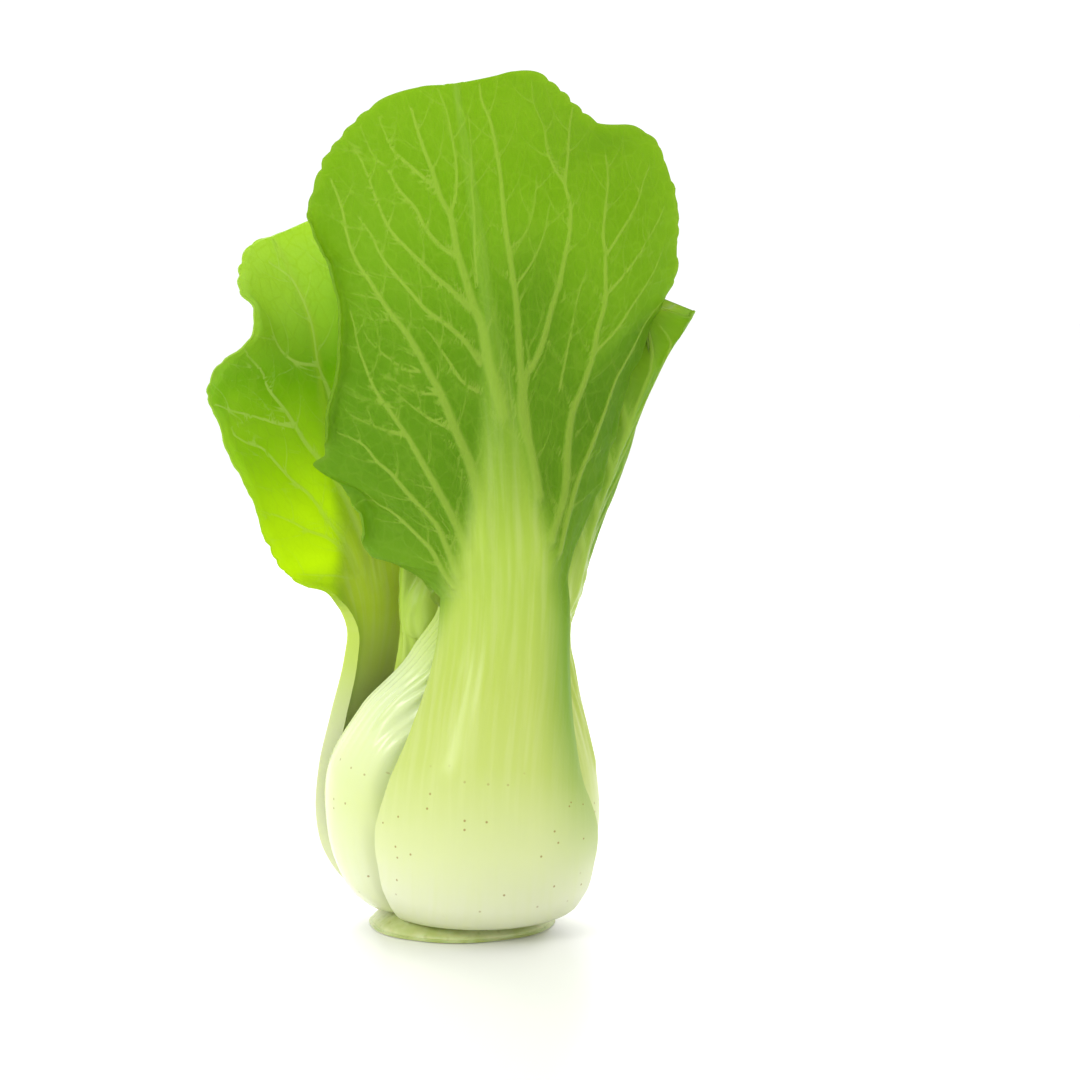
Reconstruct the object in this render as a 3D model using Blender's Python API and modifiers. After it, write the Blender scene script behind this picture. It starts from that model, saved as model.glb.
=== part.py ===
"""Bok choy: one head of green-stemmed baby bok choy, standing on the cut under its stump.

Metres, +Z up. The origin is the centre of the cut face, and -Y is the front, where the tallest leaf
grows. The stump is one solid, and each leaf is one solid: a thick spoon-shaped stalk that thins into a
waved blade with a raised midrib on its outer side. Leaves are placed from the outermost to the heart,
and each is pressed inside those already placed, as the leaves of a growing head are.
"""

import bmesh
import bpy
import numpy as np
from mathutils.kdtree import KDTree

MM = 0.001  # the sizes below are in millimetres, and the meshes in metres

# Driving dimensions of the head
STUMP_R = 18.5
STUMP_RIM = 1.3  # height of the cut disc's edge
LEAF_GAP = 0.65  # air kept between a leaf and the ones outside it
BLADE_THICK = 0.8
MARGIN_THICK = 1.6  # along both edges of a stalk

STALK_ARC = 64  # degrees that half of a full-width stalk bends through
COLUMNS = (0.0, 0.12, 0.30, 0.50, 0.69, 0.85, 1.0)  # midrib to margin, as shares of the half width

# The stalk's outer profile, as shares of the way (outwards, upwards) from foot to belly to neck
FOOT_TO_BELLY = ((0.0, 0.0), (0.28, -0.01), (0.62, 0.11), (0.89, 0.45), (1.0, 1.0))
HEEL = (0.0, 1.0, 0.75, 0.25, 0.0)  # where the heel's sag is felt
BELLY_TO_NECK = ((0.08, 0.23), (0.41, 0.49), (0.78, 0.745), (1.0, 1.0))
# Half widths at the same points, as shares of the way from foot to belly and from neck to belly
FOOT_WIDTHS = (0.0, 0.35, 0.7, 0.93, 1.0)
NECK_WIDTHS = (0.76, 0.38, 0.11, 0.0)

STALK_GREEN = (0.62, 0.74, 0.30, 1.0)
HEART_GREEN = (0.55, 0.72, 0.16, 1.0)
CUT_CREAM = (0.74, 0.76, 0.50, 1.0)

# Every leaf from the outermost in. Facing is in degrees from the front towards +X, for stalk and blade;
# foot, belly, neck and the blade's path are (x, y, z) on the outer side of the midrib; width is the half
# width at belly and neck, and splay the foot's as a share of the belly's; dip is how far the heel sags;
# arc is how far the stalk's left and right halves bend round, and wrap the same for the blade. A plump
# leaf keeps its belly further up.
LEAVES = (
    dict(name="leaf_front", facing=(3, 2), foot=(4.4, -15.6, 4.6), belly=(5.8, -28.6, 22.5),
         neck=(9.4, -17, 69), path=((9.5, -16.6, 80), (9.2, -17.8, 92), (8.2, -20, 107), (6.6, -22, 123),
                                    (4.4, -24.5, 141), (1.8, -27, 158), (0, -29, 171)),
         width=(23, 13.2), splay=0.63, dip=0.09, arc=(59, 63), wrap=(32, 50), thick=6.0,
         wave=(1.3, 2.3, 0.8), outline="front"),
    dict(name="leaf_left", facing=(-118, -150), foot=(-11.1, 5.9, 7.0), belly=(-27.4, 14.6, 22),
         neck=(-18.6, 12.5, 64), path=((-18.9, 12, 75), (-21.8, 12, 84.5), (-25.2, 12, 93.5),
                                       (-27.8, 12, 103), (-29.6, 12.5, 113), (-31.5, 13, 123.5),
                                       (-35, 14, 132), (-39, 15, 140)),
         width=(20, 12.8), splay=0.5, dip=0.14, arc=(47, 29), wrap=(34, 30), thick=5.2,
         wave=(1.2, 2.6, 0.2), outline="left"),
    dict(name="leaf_right", facing=(84, 62), foot=(12.5, -1.3, 7.0), belly=(28.2, -3, 22),
         neck=(21, -2, 62), path=((23, -2, 71.5), (26.2, -2.4, 82.6), (30.2, -3, 92.8), (36, -4.2, 107),
                                  (41, -5.2, 117), (47, -6.5, 126)),
         width=(21, 12.5), splay=0.5, dip=0.14, arc=(38, 44), wrap=(54, 50), thick=5.2,
         wave=(1.2, 2.2, 0.5), blade=13),
    dict(name="leaf_back", facing=(178, 180), foot=(0.4, 12.4, 7.0), belly=(1, 28, 22), neck=(0.6, 18, 68),
         path=((0.4, 17.4, 78), (0, 18.2, 91), (-0.5, 20, 108), (-1, 23, 128), (-2, 26.5, 146),
               (-2, 29, 159)),
         width=(21, 13), splay=0.5, dip=0.14, arc=(50, 34), wrap=(38, 38), thick=5.2,
         wave=(2.0, 2.4, 2.4), outline="back"),
    dict(name="leaf_left_front", facing=(-48, -12), foot=(-11.1, -5.3, 6.6), belly=(-22.9, -11.2, 22.5),
         neck=(3.2, -10.8, 66), path=((5.0, -10, 76), (6.5, -10.4, 90), (8, -11.5, 105), (10, -13, 125),
                                      (12, -14, 148)),
         width=(18, 11.8), splay=0.5, dip=0.17, arc=(40, 36), wrap=(40, 40), thick=5.0,
         wave=(1.2, 2.2, 1.6), blade=8, plump=1.5),
    dict(name="leaf_right_back", facing=(128, 134), foot=(8.2, 6.3, 8.8), belly=(17.2, 13.2, 23),
         neck=(12, 8.4, 60), path=((12, 8.2, 72), (12.6, 9, 87), (13.4, 10.5, 102), (14.4, 12.5, 120),
                                   (15.4, 15, 136)),
         width=(14, 10), splay=0.5, dip=0.0, arc=(48, 48), wrap=(42, 42), thick=4.0,
         wave=(1.0, 2.4, 1.1), blade=9),
    dict(name="leaf_inner_left", facing=(-84, -66), foot=(-8.4, -0.9, 10.2), belly=(-18.6, -2, 27),
         neck=(-11.5, 2, 60), path=((-11.2, 1.8, 72), (-11.4, 1, 86), (-12, -0.2, 102), (-13, -1.6, 119)),
         width=(11.5, 8), splay=0.5, dip=-0.05, arc=(50, 40), wrap=(44, 44), thick=3.6,
         wave=(0.9, 2.0, 2.0), blade=6),
    dict(name="leaf_inner_right", facing=(60, 52), foot=(6.1, -3.5, 11.2), belly=(14.5, -8.4, 28),
         neck=(9.6, -2.6, 55), path=((9.2, -2.4, 67), (9.4, -2.8, 80), (9.8, -3.4, 93), (10.6, -4.2, 106)),
         width=(9.5, 6.6), splay=0.5, dip=-0.05, arc=(46, 50), wrap=(48, 48), thick=3.0,
         wave=(0.8, 2.0, 0.4), blade=4.5),
    dict(name="leaf_inner_back", facing=(-172, -176), foot=(-0.7, 5.3, 11.9), belly=(-1.8, 12.4, 29),
         neck=(-0.6, 6.8, 52), path=((-0.6, 6.4, 63), (-0.7, 6.6, 76), (-0.8, 7.4, 90)),
         width=(8, 5.6), splay=0.5, dip=-0.05, arc=(46, 46), wrap=(48, 48), thick=2.8,
         wave=(0.6, 1.8, 1.3), blade=3.5),
    dict(name="leaf_heart", facing=(-20, -20), foot=(-0.9, -2.6, 12.8), belly=(-2.0, -5.4, 27),
         neck=(-0.9, -2.6, 46), path=((-0.8, -2.3, 55), (-0.7, -2.2, 64), (-0.7, -2.2, 72)),
         width=(4.2, 3.2), splay=0.5, dip=-0.05, arc=(50, 50), wrap=(50, 50), thick=2.0,
         wave=(0.3, 1.5, 0.9), blade=2),
)

# Margins of two blades from neck to tip: (half width, height at the margin, height where the row
# leaves the midrib). The front leaf's left lobe has a corner that points out and down.
OUTLINES = {
    "front": (
        (
            (13.2, 69, 69), (16.8, 72.4, 70.6), (22.5, 75.5, 72.2), (27.4, 77.3, 74), (28.8, 84.6, 76.6),
            (31.6, 90.7, 79.6), (38, 95.2, 83), (35, 99, 87), (34, 108, 95), (30.7, 119, 104),
            (29, 131, 114), (31, 140, 123), (33, 147, 131), (31.6, 153.5, 138.4), (25, 161.5, 146.5),
            (16.5, 168, 154.7), (8, 172.2, 161), (0, 174.2, 166),
        ),
        (
            (13.2, 69, 69), (12.8, 75, 72.5), (16.9, 84, 77.5), (20.1, 91, 82.5), (23.6, 98.5, 88.5),
            (28.7, 110, 97.5), (33.4, 118.5, 105.5), (37, 125, 112.5), (38.4, 133, 120.5),
            (38.4, 143, 130.5), (36.8, 151, 138.5), (34, 155, 143.5), (28, 157, 149),
            (23.3, 162, 153), (17.5, 168.5, 157), (12, 172.8, 160.5), (5.5, 175, 164),
            (0, 174.2, 166),
        ),
    ),
    "left": (
        (
            (12.8, 64, 64), (15, 70, 68), (18, 77, 74), (21, 85, 79), (23, 94, 85), (24, 104, 92),
            (24, 112, 100), (23, 121, 108), (20, 129, 116), (15, 135, 124), (9, 139.5, 131),
            (0, 141, 137),
        ),
        (
            (12.8, 64, 64), (14, 68.5, 67), (19, 71.5, 69.5), (22, 76.6, 72.5), (25, 82, 76),
            (26, 88, 80.5), (25.5, 95, 86), (26, 103, 92), (26.6, 111, 99), (24.4, 116, 104.5),
            (18, 122, 110), (16, 127.5, 116), (16, 132, 122), (11, 136.5, 128), (5, 140, 133),
            (0, 141, 137),
        ),
    ),
    "back": (
        (
            (13, 68, 68), (15, 74, 71), (19, 82, 76), (23, 92, 83), (26, 103, 92), (27, 114, 101),
            (26, 125, 111), (23, 135, 121), (18, 144, 131), (11, 151, 141), (5, 156, 149),
            (0, 159, 154),
        ),
        (
            (13, 68, 68), (11, 74, 72), (10, 82, 77), (11, 92, 84), (14, 102, 92), (18, 112, 101),
            (21, 122, 111), (22, 132, 120), (20, 141, 130), (14, 149, 140), (7, 155, 148),
            (0, 159, 154),
        ),
    ),
}


def smooth(knots, values, where):
    """Values between knots on a cubic Hermite curve whose slope at a knot is the mean of those beside it.

    Beyond the end knots the curve runs on straight."""
    knots = np.asarray(knots, float)
    values = np.asarray(values, float)
    slopes = np.gradient(values, knots, axis=0)
    inside = np.clip(where, knots[0], knots[-1])
    i = np.clip(np.searchsorted(knots, inside, side="right") - 1, 0, len(knots) - 2)
    extra = (...,) + (None,) * (values.ndim - 1)
    step = (knots[i + 1] - knots[i])[extra]
    t = (inside - knots[i])[extra] / step
    past = (where - inside)[extra]
    curve = (
        (1 + 2 * t) * (1 - t) ** 2 * values[i]
        + t * (1 - t) ** 2 * step * slopes[i]
        + t * t * (3 - 2 * t) * values[i + 1]
        - t * t * (1 - t) * step * slopes[i + 1]
    )
    return curve + past * np.where(past < 0, slopes[0], slopes[-1])


def ease(low, high, x):
    """0 below low, 1 above high, and a smooth step between."""
    t = np.clip((np.asarray(x, float) - low) / (high - low), 0, 1)
    return t * t * (3 - 2 * t)


def spine_of(leaf):
    """The outer line of the midrib: lengths along it, points, and the length at the neck."""
    foot, belly, neck = (np.array(leaf[k], float) for k in ("foot", "belly", "neck"))
    points = [
        foot + (belly - foot) * (a, a, b - leaf["dip"] * sag) for (a, b), sag in zip(FOOT_TO_BELLY, HEEL)
    ]
    plump = leaf.get("plump", 1)
    points += [belly + (neck - belly) * (a**plump, a**plump, b) for a, b in BELLY_TO_NECK]
    points = np.array(points + [np.array(p, float) for p in leaf["path"]])
    length = np.concatenate([[0], np.cumsum(np.linalg.norm(np.diff(points, axis=0), axis=1))])
    return length, points, length[len(FOOT_TO_BELLY) + len(BELLY_TO_NECK) - 1]


def outline_of(leaf):
    """Rows of (half width, height at the margin, height on the midrib) for the left and right halves."""
    if "outline" in leaf:
        return [np.array(side, float) for side in OUTLINES[leaf["outline"]]]
    low, high = leaf["neck"][2], leaf["path"][-1][2]
    turn = np.linspace(0, np.pi, 15)
    width = leaf["width"][1] * (1 + np.cos(turn)) / 2 + leaf["blade"] * np.sin(turn) ** 1.05
    width[-1] = 0
    height = low + (high - low) * (1 - np.cos(turn)) / 2
    start = low + (high - low) * 0.95 * np.linspace(0, 1, len(turn)) ** 1.15
    rows = np.stack([width, height, np.minimum(start, height)], axis=1)
    return [rows, rows]


def rows_of(leaf, stalk_rows, blade_rows):
    """Rows for the left and right halves: (half width, length at the margin, length at the midrib)."""
    length, points, neck_at = spine_of(leaf)
    belly, neck = leaf["width"]
    foot = belly * leaf["splay"]
    widths = [foot + (belly - foot) * f for f in FOOT_WIDTHS]
    widths += [neck + (belly - neck) * f ** (1 / leaf.get("plump", 1)) for f in NECK_WIDTHS]
    along = np.linspace(0, neck_at, stalk_rows, endpoint=False)
    stalk = np.stack([smooth(length[:len(widths)], widths, along), along, along], axis=1)
    halves = []
    for outline, arc in zip(outline_of(leaf), leaf["arc"]):
        rows = outline.copy()
        for column in (1, 2):
            rows[:, column] = np.interp(outline[:, column], points[4:, 2], length[4:])
        blade = smooth(np.linspace(0, 1, len(rows)), rows, np.linspace(0, 1, blade_rows))
        blade[-1, 0] = 0
        rows = np.concatenate([stalk, blade])
        short = np.sin(np.radians(arc)) / np.sin(np.radians(STALK_ARC))
        rows[:, 0] *= 1 + (short - 1) * (1 - ease(0.9 * neck_at, 1.1 * neck_at, rows[:, 1]))
        halves.append(rows)
    return halves


def frame_at(leaf, along):
    """Point, outward normal, sideways direction and hollow side of the spine at these lengths.

    Rows are hollow towards the inside: level at the foot, where the stalk wraps the stump, and along
    the normal from the belly up."""
    length, points, neck_at = spine_of(leaf)
    point = smooth(length, points, along)
    tangent = smooth(length, points, along + 0.5) - smooth(length, points, along - 0.5)
    tangent /= np.linalg.norm(tangent, axis=-1, keepdims=True)
    start, end = leaf["facing"]
    angle = np.radians(start + (end - start) * ease(0.4 * neck_at, 1.3 * neck_at, along))
    side = np.stack([np.cos(angle), np.sin(angle), np.zeros_like(angle)], axis=-1)
    level = np.cross(side, (0, 0, 1))
    side -= (side * tangent).sum(-1, keepdims=True) * tangent
    side /= np.linalg.norm(side, axis=-1, keepdims=True)
    normal = np.cross(side, tangent)
    hollow = level + (normal - level) * ease(0, length[4], along)[..., None]
    return point, normal, side, -hollow / np.linalg.norm(hollow, axis=-1, keepdims=True)


def sculpt(leaf, stalk_rows, blade_rows):
    """Grid of the leaf's outer face before pressing: rows from foot to tip, left margin to right."""
    neck_at = spine_of(leaf)[2]
    whole = spine_of(leaf)[0][-1]
    share = np.array(COLUMNS)
    size, rounds, phase = leaf["wave"]
    sides = []
    halves = rows_of(leaf, stalk_rows, blade_rows)
    shared = (halves[0][:, 2:] + halves[1][:, 2:]) / 2
    for sign, half, arc, wrap in zip((-1, 1), halves, leaf["arc"], leaf["wrap"]):
        width, margin, start = (half[:, i:i + 1] for i in range(3))
        start = shared + (start - shared) * ease(0, 0.4, share)
        reach = np.clip((np.arange(len(half)) - stalk_rows) / (blade_rows - 1), 0, 1)[:, None]
        bend = np.radians(arc + (wrap - arc) * ease(0.0, 0.3, reach))
        radius = width / np.sin(bend)
        along = start + (margin - start) * share ** 1.2
        point, normal, side, hollow = frame_at(leaf, along)
        turn = share * bend
        point = point + side * (sign * radius * np.sin(turn))[..., None]
        point = point + hollow * (radius * (1 - np.cos(turn)))[..., None]
        facing = normal * np.cos(turn)[..., None] + side * (sign * np.sin(turn))[..., None]
        wave = np.sin(2 * np.pi * rounds * (1 - reach) + phase)
        wave = wave * size * share ** 2.2 * ease(0.02, 0.3, reach) * (1 - 0.6 * ease(0.85, 1, reach))
        sides.append((point + facing * wave[..., None], facing, radius * turn, along + 0 * turn))
    left, right = sides
    grids = [np.concatenate([a[:, :0:-1], b], axis=1) for a, b in zip(left, right)]
    return (*grids, neck_at, whole)


def thickness(leaf, across, along, neck_at, whole):
    """Wall thickness, and how much of it stands out of the blade as the midrib."""
    past = (along - neck_at) / (whole - neck_at)
    centre = leaf["thick"] * np.interp(along / neck_at, (0, 0.12, 0.3, 0.5, 1.0), (0.3, 0.5, 0.9, 0.95, 0.62))
    rib = np.interp(past, (0, 0.15, 0.4, 0.8, 1.0), (1.0, 0.72, 0.4, 0.12, 0.0))
    centre = np.where(past > 0, BLADE_THICK + (0.62 * leaf["thick"] - BLADE_THICK) * rib, centre)
    edge = np.interp(along / neck_at, (0, 0.25, 0.8, 1.2), (1.0, MARGIN_THICK, MARGIN_THICK, BLADE_THICK))
    spread = leaf["width"][1] * np.interp(past, (-0.5, 0, 0.2, 0.5, 1.0), (1.2, 0.8, 0.3, 0.14, 0.08))
    extra = np.maximum(centre - edge, 0) * np.exp(-((across / spread) ** 2))
    return edge + extra, extra * 0.75 * ease(0.0, 0.12, past)


def normals_of(grid):
    """Unit normals of a grid of points, from its own slopes."""
    normal = np.cross(np.gradient(grid, axis=1), np.gradient(grid, axis=0))
    return normal / np.maximum(np.linalg.norm(normal, axis=-1, keepdims=True), 1e-9)


def triangles_of(rows, columns):
    """The grid's triangles as three corner numbers each, with diagonals that lean towards the midrib."""
    corner = np.arange(rows * columns).reshape(rows, columns)
    a, b = corner[:-1, :-1], corner[:-1, 1:]
    d, c = corner[1:, :-1], corner[1:, 1:]
    middle = columns // 2
    left = [np.stack([a, b, c], -1)[:, :middle], np.stack([a, c, d], -1)[:, :middle]]
    right = [np.stack([b, c, d], -1)[:, middle:], np.stack([b, d, a], -1)[:, middle:]]
    return np.concatenate([t.reshape(-1, 3) for t in left + right])


def samples_of(rows, columns, shares):
    """Points spread over the grid's triangles, as corner numbers and their three weights."""
    shares = np.array(shares, float)
    shares /= shares.sum(1, keepdims=True)
    triangles = triangles_of(rows, columns)
    return np.repeat(triangles, len(shares), axis=0), np.tile(shares, (len(triangles), 1))


def eased_over(change):
    """The push of each corner, shared with neighbours that are pushed less, so that no crease forms."""
    for _ in range(2):
        padded = np.pad(change, ((1, 1), (1, 1), (0, 0)), mode="edge")
        around = (padded[:-2, 1:-1] + padded[2:, 1:-1] + padded[1:-1, :-2] + padded[1:-1, 2:]) / 4
        less = np.linalg.norm(around, axis=-1) > np.linalg.norm(change, axis=-1)
        change = np.where(less[..., None], (change + around) / 2, change)
    return change


def press_inside(outer, walls, deepest=4.5, reach=1.4, rounds=40):
    """Moves a leaf's outer face behind the inner face of every leaf that is already in place.

    Each sample of the face that is over a wall goes straight back along that wall's normal until
    LEAF_GAP is left, and takes the corners of its triangle with it. A sample that lies past the
    wall's margin by more than `reach`, or deeper than `deepest`, is free."""
    shares = ((1, 0, 0), (0, 1, 0), (0, 0, 1), (1, 1, 0), (0, 1, 1), (1, 0, 1), (1, 1, 1))
    corners, weights = samples_of(*outer.shape[:2], shares)
    outer = outer.copy()
    for turn in range(rounds):
        moved = 0.0
        for tree, points, normals in walls:
            flat = outer.reshape(-1, 3)
            face = (flat[corners] * weights[..., None]).sum(1)
            low, high = points.min(0) - 1.5, points.max(0) + 1.5
            near = np.flatnonzero(((face > low) & (face < high)).all(1))
            if not len(near):
                continue
            found = np.array([tree.find(p)[1] for p in face[near]])
            away = face[near] - points[found]
            normal = normals[found]
            depth = (away * normal).sum(1)
            beside = np.linalg.norm(away - depth[:, None] * normal, axis=1)
            over = np.flatnonzero((depth > -LEAF_GAP) & (depth < deepest) & (beside < reach))
            if not len(over):
                continue
            push = -np.minimum(depth[over] + LEAF_GAP + 0.05, 1.5)[:, None] * normal[over]
            size = np.linalg.norm(push, axis=1)
            moved = max(moved, size.max())
            order = np.argsort(size)
            change = np.zeros_like(flat)
            for k in range(3):
                held = order[weights[near[over], k][order] > 0.2]
                change[corners[near[over]][held, k]] = push[held]
            change = change.reshape(outer.shape)
            outer = outer + (eased_over(change) if turn < 12 else change)
        if moved < 0.12:
            break
    return outer


def wall_of(inner, slope):
    """Dense points of a leaf's inner face with its normals, for the leaves placed after it."""
    shares = ((1, 0, 0), (0, 1, 0), (0, 0, 1), (1, 1, 0), (0, 1, 1), (1, 0, 1), (1, 1, 1), (3, 1, 0),
              (1, 3, 0), (0, 3, 1), (0, 1, 3), (3, 0, 1), (1, 0, 3), (2, 1, 1), (1, 2, 1), (1, 1, 2))
    corners, weights = samples_of(*inner.shape[:2], shares)
    points = (inner.reshape(-1, 3)[corners] * weights[..., None]).sum(1)
    normals = (slope.reshape(-1, 3)[corners] * weights[..., None]).sum(1)
    tree = KDTree(len(points))
    for i, p in enumerate(points):
        tree.insert(p, i)
    tree.balance()
    return tree, points, normals / np.maximum(np.linalg.norm(normals, axis=1, keepdims=True), 1e-9)


def leaf_mesh(leaf, walls, stalk_rows, blade_rows):
    """One leaf as a closed mesh: an outer and an inner grid joined along the margins and the foot."""
    outer, facing, across, along, neck_at, whole = sculpt(leaf, stalk_rows, blade_rows)
    wall, proud = thickness(leaf, across, along, neck_at, whole)
    # The midrib stands out of the face, so the face is pressed with it and then taken back.
    slope = normals_of(outer)
    slope[-2:] = facing[-2:]
    outer = press_inside(outer + slope * proud[..., None], walls)
    slope = normals_of(outer)
    # Near the tip the grid folds together, so the normals found before are kept there.
    slope[-2:] = facing[-2:]
    inner = outer - slope * wall[..., None]
    walls.append(wall_of(inner, slope))
    rows, columns = outer.shape[:2]
    triangles = triangles_of(rows, columns)
    count = rows * columns
    corner = np.arange(count).reshape(rows, columns)
    rim = np.concatenate([corner[:, 0], corner[-1, 1:-1], corner[::-1, -1], corner[0, -2:0:-1]])
    after = np.roll(rim, -1)
    strip = np.concatenate([
        np.stack([rim, after, after + count], 1), np.stack([rim, after + count, rim + count], 1),
    ])
    faces = np.concatenate([triangles, triangles[:, ::-1] + count, strip])
    data = bpy.data.meshes.new(leaf["name"])
    points = np.concatenate([outer.reshape(-1, 3), inner.reshape(-1, 3)]) * MM
    data.from_pydata(points.tolist(), [], faces.tolist())
    mesh = bmesh.new()
    mesh.from_mesh(data)
    bmesh.ops.remove_doubles(mesh, verts=mesh.verts, dist=2e-6)
    mesh.to_mesh(data)
    mesh.free()
    data.shade_smooth()
    data.set_sharp_from_angle(angle=np.radians(50))
    return data


def stump_object(finish):
    """The cut root stump: a short disc that rises in a cone, turned from a profile."""
    profile = (
        (STUMP_R - 0.7, 0.0), (STUMP_R, 0.7), (STUMP_R - 0.2, STUMP_RIM), (16.0, 2.7), (13.0, 4.5),
        (9.5, 6.9), (6.0, 9.2), (3.0, 10.6), (0.0, 11.2),
    )
    data = bpy.data.meshes.new("stump")
    points = [(0.0, 0.0, 0.0)] + [(r * MM, 0.0, z * MM) for r, z in profile]
    data.from_pydata(points, [(i, i + 1) for i in range(len(points) - 1)], [])
    obj = bpy.data.objects.new("stump", data)
    turn = obj.modifiers.new("turn", "SCREW")
    turn.angle = 2 * np.pi
    turn.steps = turn.render_steps = 32
    turn.use_merge_vertices = True
    turn.merge_threshold = 1e-5
    turn.use_normal_calculate = True
    data.materials.append(finish)
    return obj


def finish_of(name, colour, roughness):
    made = bpy.data.materials.new(name)
    made.use_nodes = True
    shader = made.node_tree.nodes["Principled BSDF"]
    shader.inputs["Base Color"].default_value = colour
    shader.inputs["Roughness"].default_value = roughness
    made.diffuse_color = colour
    return made


def main():
    for obj in list(bpy.data.objects):
        bpy.data.objects.remove(obj)
    head = bpy.data.collections.new("bok_choy")
    bpy.context.scene.collection.children.link(head)
    leaf_finish = finish_of("leaf", STALK_GREEN, 0.38)
    heart_finish = finish_of("heart", HEART_GREEN, 0.38)
    head.objects.link(stump_object(finish_of("cut", CUT_CREAM, 0.5)))
    walls = []
    for leaf in LEAVES:
        full = leaf["path"][-1][2] > 125
        stalk_rows, blade_rows = (10, 18) if full else (8, 11)
        data = leaf_mesh(leaf, walls, stalk_rows, blade_rows)
        data.materials.append(leaf_finish if full else heart_finish)
        head.objects.link(bpy.data.objects.new(leaf["name"], data))


main()
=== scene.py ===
# %% [markdown]
# # A head of bok choy
# The solid head, with one thick plain leaf per node, comes from model.glb. This lesson gives it its looks:
# every leaf is made again as a finer surface with veins, ribs, a toothed margin and living colour, in the
# place that its solid holds.

from types import SimpleNamespace

import bpy
import numpy as np
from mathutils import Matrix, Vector
from mathutils.kdtree import KDTree


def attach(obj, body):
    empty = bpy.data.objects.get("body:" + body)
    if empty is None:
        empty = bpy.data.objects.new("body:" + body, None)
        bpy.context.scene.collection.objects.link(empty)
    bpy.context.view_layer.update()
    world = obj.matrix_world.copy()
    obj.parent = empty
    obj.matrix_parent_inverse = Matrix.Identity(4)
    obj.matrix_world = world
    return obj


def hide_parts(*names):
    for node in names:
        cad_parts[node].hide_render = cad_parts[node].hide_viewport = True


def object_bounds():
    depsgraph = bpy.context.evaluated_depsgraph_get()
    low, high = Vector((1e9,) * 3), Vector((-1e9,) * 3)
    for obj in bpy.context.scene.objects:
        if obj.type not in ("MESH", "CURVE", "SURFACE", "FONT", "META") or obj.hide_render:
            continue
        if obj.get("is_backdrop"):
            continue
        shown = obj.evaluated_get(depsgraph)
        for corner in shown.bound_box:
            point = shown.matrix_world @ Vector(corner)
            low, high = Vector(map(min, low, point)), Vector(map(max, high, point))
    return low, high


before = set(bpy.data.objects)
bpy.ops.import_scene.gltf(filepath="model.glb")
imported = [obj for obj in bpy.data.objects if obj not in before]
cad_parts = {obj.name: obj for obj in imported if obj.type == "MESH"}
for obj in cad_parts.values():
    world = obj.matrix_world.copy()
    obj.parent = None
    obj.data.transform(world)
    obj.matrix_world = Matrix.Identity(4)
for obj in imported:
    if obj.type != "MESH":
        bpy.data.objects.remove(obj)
solid_low, solid_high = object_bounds()
MM = 0.001
print("solids:", len(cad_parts), "nodes, height", round(solid_high.z / MM, 1), "mm")

# %% [markdown]
# ## The view
# A long lens stands a little above the table and looks almost level, so that the head keeps its true
# proportions. The camera aims at one point, and is as far back as makes the picture 219 mm wide there.

# %% The camera
LENS = 120
SENSOR = 36
VIEW_WIDTH = 0.2192
VIEW_CENTRE = Vector((0.0162, 0.0, 0.0791))
VIEW_RISE = np.radians(7)
camera = bpy.data.objects.new("camera", bpy.data.cameras.new("camera"))
camera.data.lens = LENS
camera.data.sensor_width = SENSOR
camera.data.clip_start = 0.01
backwards = Vector((0, -np.cos(VIEW_RISE), np.sin(VIEW_RISE)))
camera.location = VIEW_CENTRE + backwards * (VIEW_WIDTH * LENS / SENSOR)
camera.rotation_euler = backwards.to_track_quat("Z", "Y").to_euler()
bpy.context.scene.collection.objects.link(camera)
bpy.context.scene.camera = camera
print("camera", round(camera.location.length, 3), "m from the stump")

# %% [markdown]
# ## Light
# A white room and two soft lamps: one from the front left makes the wet shine on the stalks, and a larger one
# behind the head shines through the thin blades. Pure white surroundings need the plain Standard view.

# %% Lamps and surroundings
room = bpy.data.worlds.new("white_room")
room.use_nodes = True
background = room.node_tree.nodes["Background"]
background.inputs["Color"].default_value = (1, 1, 1, 1)
background.inputs["Strength"].default_value = 1.08
bpy.context.scene.world = room
bpy.context.scene.view_settings.view_transform = "Standard"


def lamp(name, place, aim, size, power):
    """A square area lamp at `place` that faces `aim`."""
    made = bpy.data.objects.new(name, bpy.data.lights.new(name, "AREA"))
    made.data.size = size
    made.data.energy = power
    made.location = place
    made.rotation_euler = (Vector(place) - Vector(aim)).to_track_quat("Z", "Y").to_euler()
    bpy.context.scene.collection.objects.link(made)
    print(name, power, "W")


lamp("key", (-0.45, -0.50, 0.45), (0, 0, 0.07), 0.22, 1.4)
lamp("behind", (-0.15, 0.50, 0.50), (0, 0, 0.11), 0.5, 4.0)

# %% [markdown]
# ## Numbers that flow through a material
# A material's maths is easier to read as an expression. This class holds one socket of a node tree. Plus,
# minus and times add Math nodes, `node` adds any other node, and `into` links the result to where it is used.


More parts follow.
